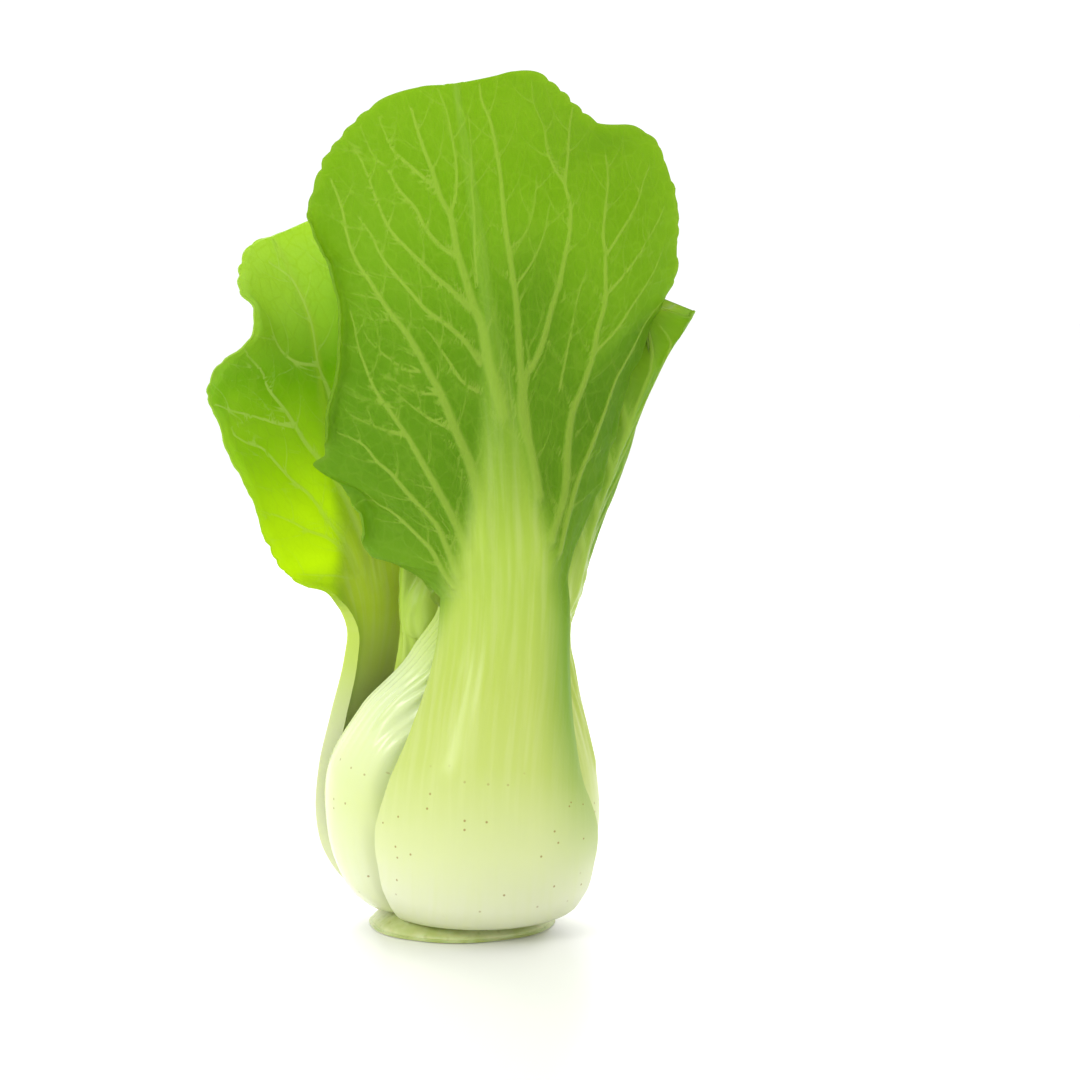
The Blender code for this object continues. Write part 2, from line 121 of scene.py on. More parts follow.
# %% Expressions on sockets
class Flow:
    """One output socket of a node tree, which can be used in an expression."""

    def __init__(self, tree, socket=None):
        self.tree = tree
        self.socket = socket

    def node(self, kind, settings, sockets, output=0):
        """Adds a node, makes its settings, then fills or links its sockets, and returns one output."""
        made = self.tree.nodes.new(kind)
        for key, value in settings.items():
            setattr(made, key, value)
        for key, value in sockets.items():
            if isinstance(value, Flow):
                value.into(made.inputs[key])
            else:
                made.inputs[key].default_value = value
        return Flow(self.tree, made.outputs[output])

    def into(self, socket):
        """Links this output to an input."""
        self.tree.links.new(self.socket, socket)

    def maths(self, operation, *values):
        return self.node("ShaderNodeMath", {"operation": operation}, dict(enumerate(values)))

    def __add__(self, other):
        return self.maths("ADD", self, other)

    def __sub__(self, other):
        return self.maths("SUBTRACT", self, other)

    def __rsub__(self, other):
        return self.maths("SUBTRACT", other, self)

    def __mul__(self, other):
        return self.maths("MULTIPLY", self, other)

    __radd__ = __add__

    def step(self, low, high):
        """0 below `low`, 1 above `high`, and smooth between."""
        settings = {"interpolation_type": "SMOOTHSTEP"}
        return self.node("ShaderNodeMapRange", settings, {0: self, 1: low, 2: high})

    def mixed(self, first, second):
        """The first colour where this is 0, and the second where it is 1. Its colours are sockets 6 and 7."""
        return self.node("ShaderNodeMix", {"data_type": "RGBA"}, {0: self, 6: first, 7: second}, 2)

    def ramp(self, stops):
        """The colour that stops of (place, colour) give where this runs from 0 to 1."""
        made = self.node("ShaderNodeValToRGB", {}, {0: self})
        elements = made.socket.node.color_ramp.elements
        while len(elements) < len(stops):
            elements.new(0.5)
        for element, (place, paint) in zip(elements, stops):
            element.position = place
            element.color = paint
        return made


def blank(name):
    """A new material, its main shader, and a Flow that starts expressions in its tree."""
    made = bpy.data.materials.new(name)
    made.use_nodes = True
    return made, made.node_tree.nodes["Principled BSDF"], Flow(made.node_tree)


print("a flow has", ", ".join(key for key in vars(Flow) if not key.startswith("_")))

# %% [markdown]
# Colours are chosen as they look on a screen, 0 to 255. This bright room would make them look lighter still,
# so a surface is painted with a share of the light that the screen colour stands for.

# %% Colours
PAINT = 0.8


def colour(red, green, blue):
    """A colour as it should look on the screen, as the linear colour of a surface."""
    screen = np.array([red, green, blue]) / 255
    linear = np.where(screen <= 0.04045, screen / 12.92, ((screen + 0.055) / 1.055) ** 2.4)
    return (*(PAINT * linear).tolist(), 1.0)


print("the lightest surface reflects", colour(255, 255, 255)[0])

# %% [markdown]
# ## The leaves by name
# Every leaf is a spoon: a thick stalk that bulges at its belly and narrows at its neck, and a thin blade.
# The table repeats the sizes that the solids were built from, outermost leaf first, in millimetres. The
# profiles above it are shares: of the way from foot to belly and from belly to neck, and of the half width.

# %% The leaves' sizes
STALK_ARC = 64
LEAF_GAP = 0.65
BLADE_THICK = 0.8
MARGIN_THICK = 1.6
NECK_THICK = 0.62
OUTER_HEIGHT = 125
COLUMNS = (0.0, 0.12, 0.30, 0.50, 0.69, 0.85, 1.0)
FOOT_TO_BELLY = ((0.0, 0.0), (0.28, -0.01), (0.62, 0.11), (0.89, 0.45), (1.0, 1.0))
BELLY = len(FOOT_TO_BELLY) - 1
HEEL = (0.0, 1.0, 0.75, 0.25, 0.0)
BELLY_TO_NECK = ((0.08, 0.23), (0.41, 0.49), (0.78, 0.745), (1.0, 1.0))
FOOT_WIDTHS = (0.0, 0.35, 0.7, 0.93, 1.0)
NECK_WIDTHS = (0.76, 0.38, 0.11, 0.0)
LEAVES = (
    dict(name="leaf_front", facing=(3, 2), foot=(4.4, -15.6, 4.6), belly=(5.8, -28.6, 22.5),
         neck=(9.4, -17, 69), path=((9.5, -16.6, 80), (9.2, -17.8, 92), (8.2, -20, 107), (6.6, -22, 123),
         (4.4, -24.5, 141), (1.8, -27, 158), (0, -29, 171)), width=(23, 13.2), splay=0.63, dip=0.09,
         arc=(59, 63), wrap=(32, 50), thick=6.0, wave=(1.3, 2.3, 0.8), outline="front"),
    dict(name="leaf_left", facing=(-118, -150), foot=(-11.1, 5.9, 7.0), belly=(-27.4, 14.6, 22),
         neck=(-18.6, 12.5, 64), path=((-18.9, 12, 75), (-21.8, 12, 84.5), (-25.2, 12, 93.5),
         (-27.8, 12, 103), (-29.6, 12.5, 113), (-31.5, 13, 123.5), (-35, 14, 132), (-39, 15, 140)),
         width=(20, 12.8), splay=0.5, dip=0.14, arc=(47, 29), wrap=(34, 30), thick=5.2, wave=(1.2, 2.6, 0.2),
         outline="left"),
    dict(name="leaf_right", facing=(84, 62), foot=(12.5, -1.3, 7.0), belly=(28.2, -3, 22), neck=(21, -2, 62),
         path=((23, -2, 71.5), (26.2, -2.4, 82.6), (30.2, -3, 92.8), (36, -4.2, 107), (41, -5.2, 117),
         (47, -6.5, 126)), width=(21, 12.5), splay=0.5, dip=0.14, arc=(38, 44), wrap=(54, 50), thick=5.2,
         wave=(1.2, 2.2, 0.5), blade=13),
    dict(name="leaf_back", facing=(178, 180), foot=(0.4, 12.4, 7.0), belly=(1, 28, 22), neck=(0.6, 18, 68),
         path=((0.4, 17.4, 78), (0, 18.2, 91), (-0.5, 20, 108), (-1, 23, 128), (-2, 26.5, 146),
         (-2, 29, 159)), width=(21, 13), splay=0.5, dip=0.14, arc=(50, 34), wrap=(38, 38), thick=5.2,
         wave=(2.0, 2.4, 2.4), outline="back"),
    dict(name="leaf_left_front", facing=(-48, -12), foot=(-11.1, -5.3, 6.6), belly=(-22.9, -11.2, 22.5),
         neck=(3.2, -10.8, 66), path=((5.0, -10, 76), (6.5, -10.4, 90), (8, -11.5, 105), (10, -13, 125),
         (12, -14, 148)), width=(18, 11.8), splay=0.5, dip=0.17, arc=(40, 36), wrap=(40, 40), thick=5.0,
         wave=(1.2, 2.2, 1.6), blade=8, plump=1.5),
    dict(name="leaf_right_back", facing=(128, 134), foot=(8.2, 6.3, 8.8), belly=(17.2, 13.2, 23),
         neck=(12, 8.4, 60), path=((12, 8.2, 72), (12.6, 9, 87), (13.4, 10.5, 102), (14.4, 12.5, 120),
         (15.4, 15, 136)), width=(14, 10), splay=0.5, dip=0.0, arc=(48, 48), wrap=(42, 42), thick=4.0,
         wave=(1.0, 2.4, 1.1), blade=9),
    dict(name="leaf_inner_left", facing=(-84, -66), foot=(-8.4, -0.9, 10.2), belly=(-18.6, -2, 27),
         neck=(-11.5, 2, 60), path=((-11.2, 1.8, 72), (-11.4, 1, 86), (-12, -0.2, 102), (-13, -1.6, 119)),
         width=(11.5, 8), splay=0.5, dip=-0.05, arc=(50, 40), wrap=(44, 44), thick=3.6, wave=(0.9, 2.0, 2.0),
         blade=6),
    dict(name="leaf_inner_right", facing=(60, 52), foot=(6.1, -3.5, 11.2), belly=(14.5, -8.4, 28),
         neck=(9.6, -2.6, 55), path=((9.2, -2.4, 67), (9.4, -2.8, 80), (9.8, -3.4, 93), (10.6, -4.2, 106)),
         width=(9.5, 6.6), splay=0.5, dip=-0.05, arc=(46, 50), wrap=(48, 48), thick=3.0, wave=(0.8, 2.0, 0.4),
         blade=4.5),
    dict(name="leaf_inner_back", facing=(-172, -176), foot=(-0.7, 5.3, 11.9), belly=(-1.8, 12.4, 29),
         neck=(-0.6, 6.8, 52), path=((-0.6, 6.4, 63), (-0.7, 6.6, 76), (-0.8, 7.4, 90)), width=(8, 5.6),
         splay=0.5, dip=-0.05, arc=(46, 46), wrap=(48, 48), thick=2.8, wave=(0.6, 1.8, 1.3), blade=3.5),
    dict(name="leaf_heart", facing=(-20, -20), foot=(-0.9, -2.6, 12.8), belly=(-2.0, -5.4, 27),
         neck=(-0.9, -2.6, 46), path=((-0.8, -2.3, 55), (-0.7, -2.2, 64), (-0.7, -2.2, 72)), width=(4.2, 3.2),
         splay=0.5, dip=-0.05, arc=(50, 50), wrap=(50, 50), thick=2.0, wave=(0.3, 1.5, 0.9), blade=2),
)
print("leaves, with the heart:", len(LEAVES))

# %% [markdown]
# Three blades have margins of their own, from neck to tip: half width, height at the margin, and height where
# the row leaves the midrib.

# %% The margins of three blades
OUTLINES = {
    "front": (
        (
            (13.2, 69, 69), (16.8, 72.4, 70.6), (22.5, 75.5, 72.2), (27.4, 77.3, 74), (28.8, 84.6, 76.6),
            (31.6, 90.7, 79.6), (38, 95.2, 83), (35, 99, 87), (34, 108, 95), (30.7, 119, 104),
            (29, 131, 114), (31, 140, 123), (33, 147, 131), (31.6, 153.5, 138.4), (25, 161.5, 146.5),
            (16.5, 168, 154.7), (8, 172.2, 161), (0, 174.2, 166),
        ),
        (
            (13.2, 69, 69), (12.8, 75, 72.5), (16.9, 84, 77.5), (20.1, 91, 82.5), (23.6, 98.5, 88.5),
            (28.7, 110, 97.5), (33.4, 118.5, 105.5), (37, 125, 112.5), (38.4, 133, 120.5),
            (38.4, 143, 130.5), (36.8, 151, 138.5), (34, 155, 143.5), (28, 157, 149), (23.3, 162, 153),
            (17.5, 168.5, 157), (12, 172.8, 160.5), (5.5, 175, 164), (0, 174.2, 166),
        ),
    ),
    "left": (
        (
            (12.8, 64, 64), (15, 70, 68), (18, 77, 74), (21, 85, 79), (23, 94, 85), (24, 104, 92),
            (24, 112, 100), (23, 121, 108), (20, 129, 116), (15, 135, 124), (9, 139.5, 131), (0, 141, 137),
        ),
        (
            (12.8, 64, 64), (14, 68.5, 67), (19, 71.5, 69.5), (22, 76.6, 72.5), (25, 82, 76),
            (26, 88, 80.5), (25.5, 95, 86), (26, 103, 92), (26.6, 111, 99), (24.4, 116, 104.5),
            (18, 122, 110), (16, 127.5, 116), (16, 132, 122), (11, 136.5, 128), (5, 140, 133),
            (0, 141, 137),
        ),
    ),
    "back": (
        (
            (13, 68, 68), (15, 74, 71), (19, 82, 76), (23, 92, 83), (26, 103, 92), (27, 114, 101),
            (26, 125, 111), (23, 135, 121), (18, 144, 131), (11, 151, 141), (5, 156, 149), (0, 159, 154),
        ),
        (
            (13, 68, 68), (11, 74, 72), (10, 82, 77), (11, 92, 84), (14, 102, 92), (18, 112, 101),
            (21, 122, 111), (22, 132, 120), (20, 141, 130), (14, 149, 140), (7, 155, 148), (0, 159, 154),
        ),
    ),
}
print("blades with margins of their own:", len(OUTLINES))

# %% [markdown]
# ## Smooth curves
# Listed points become smooth curves in one place, so the stalk's profile, the margins and the veins are all
# drawn the same way.


# %% Curves through points
def smooth(knots, values, where):
    """Values between knots on a cubic Hermite curve whose slope at a knot is the mean of those beside it.

    Beyond the end knots the curve runs on straight."""
    knots = np.asarray(knots, float)
    values = np.asarray(values, float)
    slopes = np.gradient(values, knots, axis=0)
    inside = np.clip(where, knots[0], knots[-1])
    i = np.clip(np.searchsorted(knots, inside, side="right") - 1, 0, len(knots) - 2)
    extra = (...,) + (None,) * (values.ndim - 1)
    step = (knots[i + 1] - knots[i])[extra]
    t = (inside - knots[i])[extra] / step
    past = (where - inside)[extra]
    curve = (
        (1 + 2 * t) * (1 - t) ** 2 * values[i]
        + t * (1 - t) ** 2 * step * slopes[i]
        + t * t * (3 - 2 * t) * values[i + 1]
        - t * t * (1 - t) * step * slopes[i + 1]
    )
    return curve + past * np.where(past < 0, slopes[0], slopes[-1])


def ease(low, high, x):
    """0 below low, 1 above high, and a smooth step between."""
    t = np.clip((np.asarray(x, float) - low) / (high - low), 0, 1)
    return t * t * (3 - 2 * t)


def unit(vectors):
    """The same directions with length 1."""
    return vectors / np.maximum(np.linalg.norm(vectors, axis=-1, keepdims=True), 1e-9)


def lengths_along(points):
    """How far each point of a line is from its first one, along the line."""
    return np.concatenate([[0], np.cumsum(np.linalg.norm(np.diff(points, axis=0), axis=1))])


print("halfway up a smooth step:", ease(0, 1, 0.5))

# %% [markdown]
# ## The line that a leaf grows along
# The outer line of the midrib runs from the foot, out to the belly, in to the neck and up the blade. Two
# directions travel with it: outwards from the head, and sideways towards the leaf's right margin.


# %% The midrib's line
def spine_of(leaf):
    """The outer line of the midrib: lengths along it, points, and the length at the neck."""
    foot, belly, neck = (np.array(leaf[k], float) for k in ("foot", "belly", "neck"))
    points = [
        foot + (belly - foot) * (a, a, b - leaf["dip"] * sag) for (a, b), sag in zip(FOOT_TO_BELLY, HEEL)
    ]
    plump = leaf.get("plump", 1)
    points += [belly + (neck - belly) * (a**plump, a**plump, b) for a, b in BELLY_TO_NECK]
    points = np.array(points + [np.array(p, float) for p in leaf["path"]])
    length = lengths_along(points)
    return length, points, length[BELLY + len(BELLY_TO_NECK)]


def frame_at(leaf, along):
    """Point, outward normal, sideways direction and hollow side of the spine at these lengths.

    Outwards is the cross product of sideways and the spine's own direction. Rows are hollow towards the
    inside: level at the foot, where the stalk wraps the stump, and along the normal from the belly up."""
    length, points, neck_at = spine_of(leaf)
    point = smooth(length, points, along)
    tangent = unit(smooth(length, points, along + 0.5) - smooth(length, points, along - 0.5))
    start, end = leaf["facing"]
    angle = np.radians(start + (end - start) * ease(0.4 * neck_at, 1.3 * neck_at, along))
    side = np.stack([np.cos(angle), np.sin(angle), np.zeros_like(angle)], axis=-1)
    level = np.cross(side, (0, 0, 1))
    side = unit(side - (side * tangent).sum(-1, keepdims=True) * tangent)
    normal = np.cross(side, tangent)
    hollow = level + (normal - level) * ease(0, length[BELLY], along)[..., None]
    return point, normal, side, -unit(hollow)


print("front leaf's midrib:", round(float(spine_of(LEAVES[0])[0][-1])), "mm long")

# %% [markdown]
# ## A leaf as rows
# A leaf could be drawn flat and then bent, but a stalk is never flat. So each leaf is built from rows that
# cross the midrib. A row is an arc of a circle, so it needs only a half width and an angle to bend through.


# %% Rows across the midrib
def outline_of(leaf):
    """Rows of (half width, height at the margin, height on the midrib) for the left and right halves."""
    if "outline" in leaf:
        return [np.array(side, float) for side in OUTLINES[leaf["outline"]]]
    low, high = leaf["neck"][2], leaf["path"][-1][2]
    turn = np.linspace(0, np.pi, 15)
    width = leaf["width"][1] * (1 + np.cos(turn)) / 2 + leaf["blade"] * np.sin(turn) ** 1.05
    width[-1] = 0
    height = low + (high - low) * (1 - np.cos(turn)) / 2
    start = low + (high - low) * 0.95 * np.linspace(0, 1, len(turn)) ** 1.15
    rows = np.stack([width, height, np.minimum(start, height)], axis=1)
    return [rows, rows]


def rows_of(leaf, stalk_rows, blade_rows):
    """Rows for the left and right halves: (half width, length at the margin, length at the midrib)."""
    length, points, neck_at = spine_of(leaf)
    belly, neck = leaf["width"]
    foot = belly * leaf["splay"]
    widths = [foot + (belly - foot) * f for f in FOOT_WIDTHS]
    widths += [neck + (belly - neck) * f ** (1 / leaf.get("plump", 1)) for f in NECK_WIDTHS]
    along = np.linspace(0, neck_at, stalk_rows, endpoint=False)
    stalk = np.stack([smooth(length[:len(widths)], widths, along), along, along], axis=1)
    halves = []
    for outline, arc in zip(outline_of(leaf), leaf["arc"]):
        rows = outline.copy()
        for column in (1, 2):
            rows[:, column] = np.interp(outline[:, column], points[BELLY:, 2], length[BELLY:])
        blade = smooth(np.linspace(0, 1, len(rows)), rows, np.linspace(0, 1, blade_rows))
        blade[-1, 0] = 0
        rows = np.concatenate([stalk, blade])
        short = np.sin(np.radians(arc)) / np.sin(np.radians(STALK_ARC))
        rows[:, 0] *= 1 + (short - 1) * (1 - ease(0.9 * neck_at, 1.1 * neck_at, rows[:, 1]))
        halves.append(rows)
    return halves


def sculpt(leaf, stalk_rows, blade_rows, share):
    """The leaf's outer face: rows from foot to tip, and columns at `share` of the half width on each side.

    A row of half width w that bends through an angle b has the radius w / sin(b). The point at share s has
    turned by s * b, so it is radius * sin(s * b) to the side and radius * (1 - cos(s * b)) behind.
    Returns the grid, the outward directions, the distance across, the length along and the share."""
    share = np.asarray(share, float)
    size, rounds, phase = leaf["wave"]
    sides = []
    halves = rows_of(leaf, stalk_rows, blade_rows)
    shared = (halves[0][:, 2:] + halves[1][:, 2:]) / 2
    for sign, half, arc, wrap in zip((-1, 1), halves, leaf["arc"], leaf["wrap"]):
        width, margin, start = (half[:, i:i + 1] for i in range(3))
        start = shared + (start - shared) * ease(0, 0.4, share)
        reach = np.clip((np.arange(len(half)) - stalk_rows) / (blade_rows - 1), 0, 1)[:, None]
        bend = np.radians(arc + (wrap - arc) * ease(0.0, 0.3, reach))
        radius = width / np.sin(bend)
        along = start + (margin - start) * share ** 1.2
        point, normal, side, hollow = frame_at(leaf, along)
        turn = share * bend
        point = point + side * (sign * radius * np.sin(turn))[..., None]
        point = point + hollow * (radius * (1 - np.cos(turn)))[..., None]
        facing = normal * np.cos(turn)[..., None] + side * (sign * np.sin(turn))[..., None]
        wave = np.sin(2 * np.pi * rounds * (1 - reach) + phase)
        wave = wave * size * share ** 2.2 * ease(0.02, 0.3, reach) * (1 - 0.6 * ease(0.85, 1, reach))
        point = point + facing * wave[..., None]
        sides.append((point, facing, sign * radius * turn, along + 0 * turn, sign * share + 0 * turn))
    left, right = sides
    return [np.concatenate([a[:, :0:-1], b], axis=1) for a, b in zip(left, right)]

def thickness(leaf, across, along):
    """Wall thickness, and how much of it stands out of the blade as the midrib.

    The extra thickness of the middle falls off across the leaf as exp(-(across / spread) ** 2)."""
    length, _, neck_at = spine_of(leaf)
    past = (along - neck_at) / (length[-1] - neck_at)
    up = along / neck_at
    stalk = leaf["thick"] * np.interp(up, (0, 0.12, 0.3, 0.5, 1.0), (0.3, 0.5, 0.9, 0.95, NECK_THICK))
    rib = np.interp(past, (0, 0.15, 0.4, 0.8, 1.0), (1.0, 0.72, 0.4, 0.12, 0.0))
    centre = np.where(past > 0, BLADE_THICK + (NECK_THICK * leaf["thick"] - BLADE_THICK) * rib, stalk)
    edge = np.interp(up, (0, 0.25, 0.8, 1.2), (1.0, MARGIN_THICK, MARGIN_THICK, BLADE_THICK))
    spread = leaf["width"][1] * np.interp(past, (-0.5, 0, 0.2, 0.5, 1.0), (1.2, 0.8, 0.3, 0.14, 0.08))
    extra = np.maximum(centre - edge, 0) * np.exp(-((across / spread) ** 2))
    return edge + extra, extra * 0.75 * ease(0.0, 0.12, past)


def normals_of(grid, facing):
    """Unit normals of a grid from its own slopes, but `facing` in the last rows, where the tip closes."""
    normal = unit(np.cross(np.gradient(grid, axis=1), np.gradient(grid, axis=0)))
    normal[-2:] = facing[-2:]
    return normal


print("a coarse front leaf has", sculpt(LEAVES[0], 10, 18, COLUMNS)[0].shape[:2], "rows and columns")

# %% [markdown]
# ## Leaves that press on each other
# In the head each leaf lies inside the older ones. Sample points of a coarse leaf look up the nearest point
# of every wall outside them, and where one has gone through, it goes straight back along the wall's normal.
# The samples are spread over the triangles of a face by the weights of their three corners.


# %% Sample points of a face
CORNERS = ((1, 0, 0), (0, 1, 0), (0, 0, 1), (1, 1, 0), (0, 1, 1), (1, 0, 1), (1, 1, 1))
BETWEEN = ((3, 1, 0), (1, 3, 0), (0, 3, 1), (0, 1, 3), (3, 0, 1), (1, 0, 3), (2, 1, 1), (1, 2, 1), (1, 1, 2))


def triangles_of(rows, columns):
    """The grid's triangles as three corner numbers each, with diagonals that lean towards the midrib."""
    corner = np.arange(rows * columns).reshape(rows, columns)
    a, b = corner[:-1, :-1], corner[:-1, 1:]
    d, c = corner[1:, :-1], corner[1:, 1:]
    middle = columns // 2
    left = [np.stack([a, b, c], -1)[:, :middle], np.stack([a, c, d], -1)[:, :middle]]
    right = [np.stack([b, c, d], -1)[:, middle:], np.stack([b, d, a], -1)[:, middle:]]
    return np.concatenate([t.reshape(-1, 3) for t in left + right])


def samples_of(rows, columns, shares):
    """Points spread over the grid's triangles, as corner numbers and their three weights."""
    shares = np.array(shares, float)
    shares /= shares.sum(1, keepdims=True)
    triangles = triangles_of(rows, columns)
    return np.repeat(triangles, len(shares), axis=0), np.tile(shares, (len(triangles), 1))


print("a coarse front leaf has", len(samples_of(28, 13, CORNERS)[0]), "samples")

# %% [markdown]
# A push moves the corners around its sample. In the first rounds it is shared with the neighbours, so that no
# crease forms, and the last rounds only clear what is left. A sample that lies past a wall's margin, or far
# deeper than a leaf is thick, has nothing to do with that wall.


# %% Pressing one leaf inside the others
ROUNDS = 40
EASED_ROUNDS = 12
DEEPEST = 4.5
BESIDE = 1.4
LONGEST_PUSH = 1.5
SETTLED = 0.12
HELD_WEIGHT = 0.2


def eased_over(change):
    """The push of each corner, shared with neighbours that are pushed less, so that no crease forms."""
    for _ in range(2):
        padded = np.pad(change, ((1, 1), (1, 1), (0, 0)), mode="edge")
        around = (padded[:-2, 1:-1] + padded[2:, 1:-1] + padded[1:-1, :-2] + padded[1:-1, 2:]) / 4
        less = np.linalg.norm(around, axis=-1) > np.linalg.norm(change, axis=-1)
        change = np.where(less[..., None], (change + around) / 2, change)
    return change


def pushed_off(face, wall):
    """Which samples have gone through this wall, or nearly, and the pushes that bring them back."""
    tree, points, normals = wall
    low, high = points.min(0) - LONGEST_PUSH, points.max(0) + LONGEST_PUSH
    near = np.flatnonzero(((face > low) & (face < high)).all(1))
    found = np.array([tree.find(p)[1] for p in face[near]], int)
    away, normal = face[near] - points[found], normals[found]
    depth = (away * normal).sum(1)
    beside = np.linalg.norm(away - depth[:, None] * normal, axis=1)
    over = np.flatnonzero((depth > -LEAF_GAP) & (depth < DEEPEST) & (beside < BESIDE))
    far = np.minimum(depth[over] + LEAF_GAP + 0.05, LONGEST_PUSH)
    return near[over], -far[:, None] * normal[over]


def press_inside(outer, walls):
    """Moves a coarse outer face behind the inner face of every wall, until LEAF_GAP is left."""
    corners, weights = samples_of(*outer.shape[:2], CORNERS)
    for turn in range(ROUNDS):
        moved = 0.0
        for wall in walls:
            flat = outer.reshape(-1, 3)
            over, push = pushed_off((flat[corners] * weights[..., None]).sum(1), wall)
            if not len(over):
                continue
            size = np.linalg.norm(push, axis=1)
            moved = max(moved, size.max())
            order = np.argsort(size)
            change = np.zeros_like(flat)
            for k in range(3):
                held = order[weights[over, k][order] > HELD_WEIGHT]
                change[corners[over][held, k]] = push[held]
            change = change.reshape(outer.shape)
            outer = outer + (eased_over(change) if turn < EASED_ROUNDS else change)
        if moved < SETTLED:
            break
    return outer


def wall_of(inner, slope):
    """Dense points of a leaf's inner face with its normals, for the leaves placed after it."""
    corners, weights = samples_of(*inner.shape[:2], CORNERS + BETWEEN)
    points = (inner.reshape(-1, 3)[corners] * weights[..., None]).sum(1)
    normals = (slope.reshape(-1, 3)[corners] * weights[..., None]).sum(1)
    tree = KDTree(len(points))
    for i, p in enumerate(points):
        tree.insert(p, i)
    tree.balance()
    return tree, points, unit(normals)


def is_outer(leaf):
    """Whether this is one of the big leaves round the heart."""
    return leaf["path"][-1][2] > OUTER_HEIGHT


def rows_for(leaf):
    """Rows of the stalk and of the blade in the coarse leaf."""
    return (10, 18) if is_outer(leaf) else (8, 11)


def pushes_of(leaves):
    """How far each coarse leaf is pressed in, as a grid of moves for each name."""
    walls = []
    pushes = {}
    for leaf in leaves:
        outer, facing, across, along, _ = sculpt(leaf, *rows_for(leaf), COLUMNS)
        wall, proud = thickness(leaf, across, along)
        start = outer + normals_of(outer, facing) * proud[..., None]
        pressed = press_inside(start, walls)
        pushes[leaf["name"]] = pressed - start
        slope = normals_of(pressed, facing)
        walls.append(wall_of(pressed - slope * wall[..., None], slope))
        print(leaf["name"], "is pressed by up to", round(float(np.abs(pressed - start).max()), 1), "mm")
    return pushes


pushes = pushes_of(LEAVES)
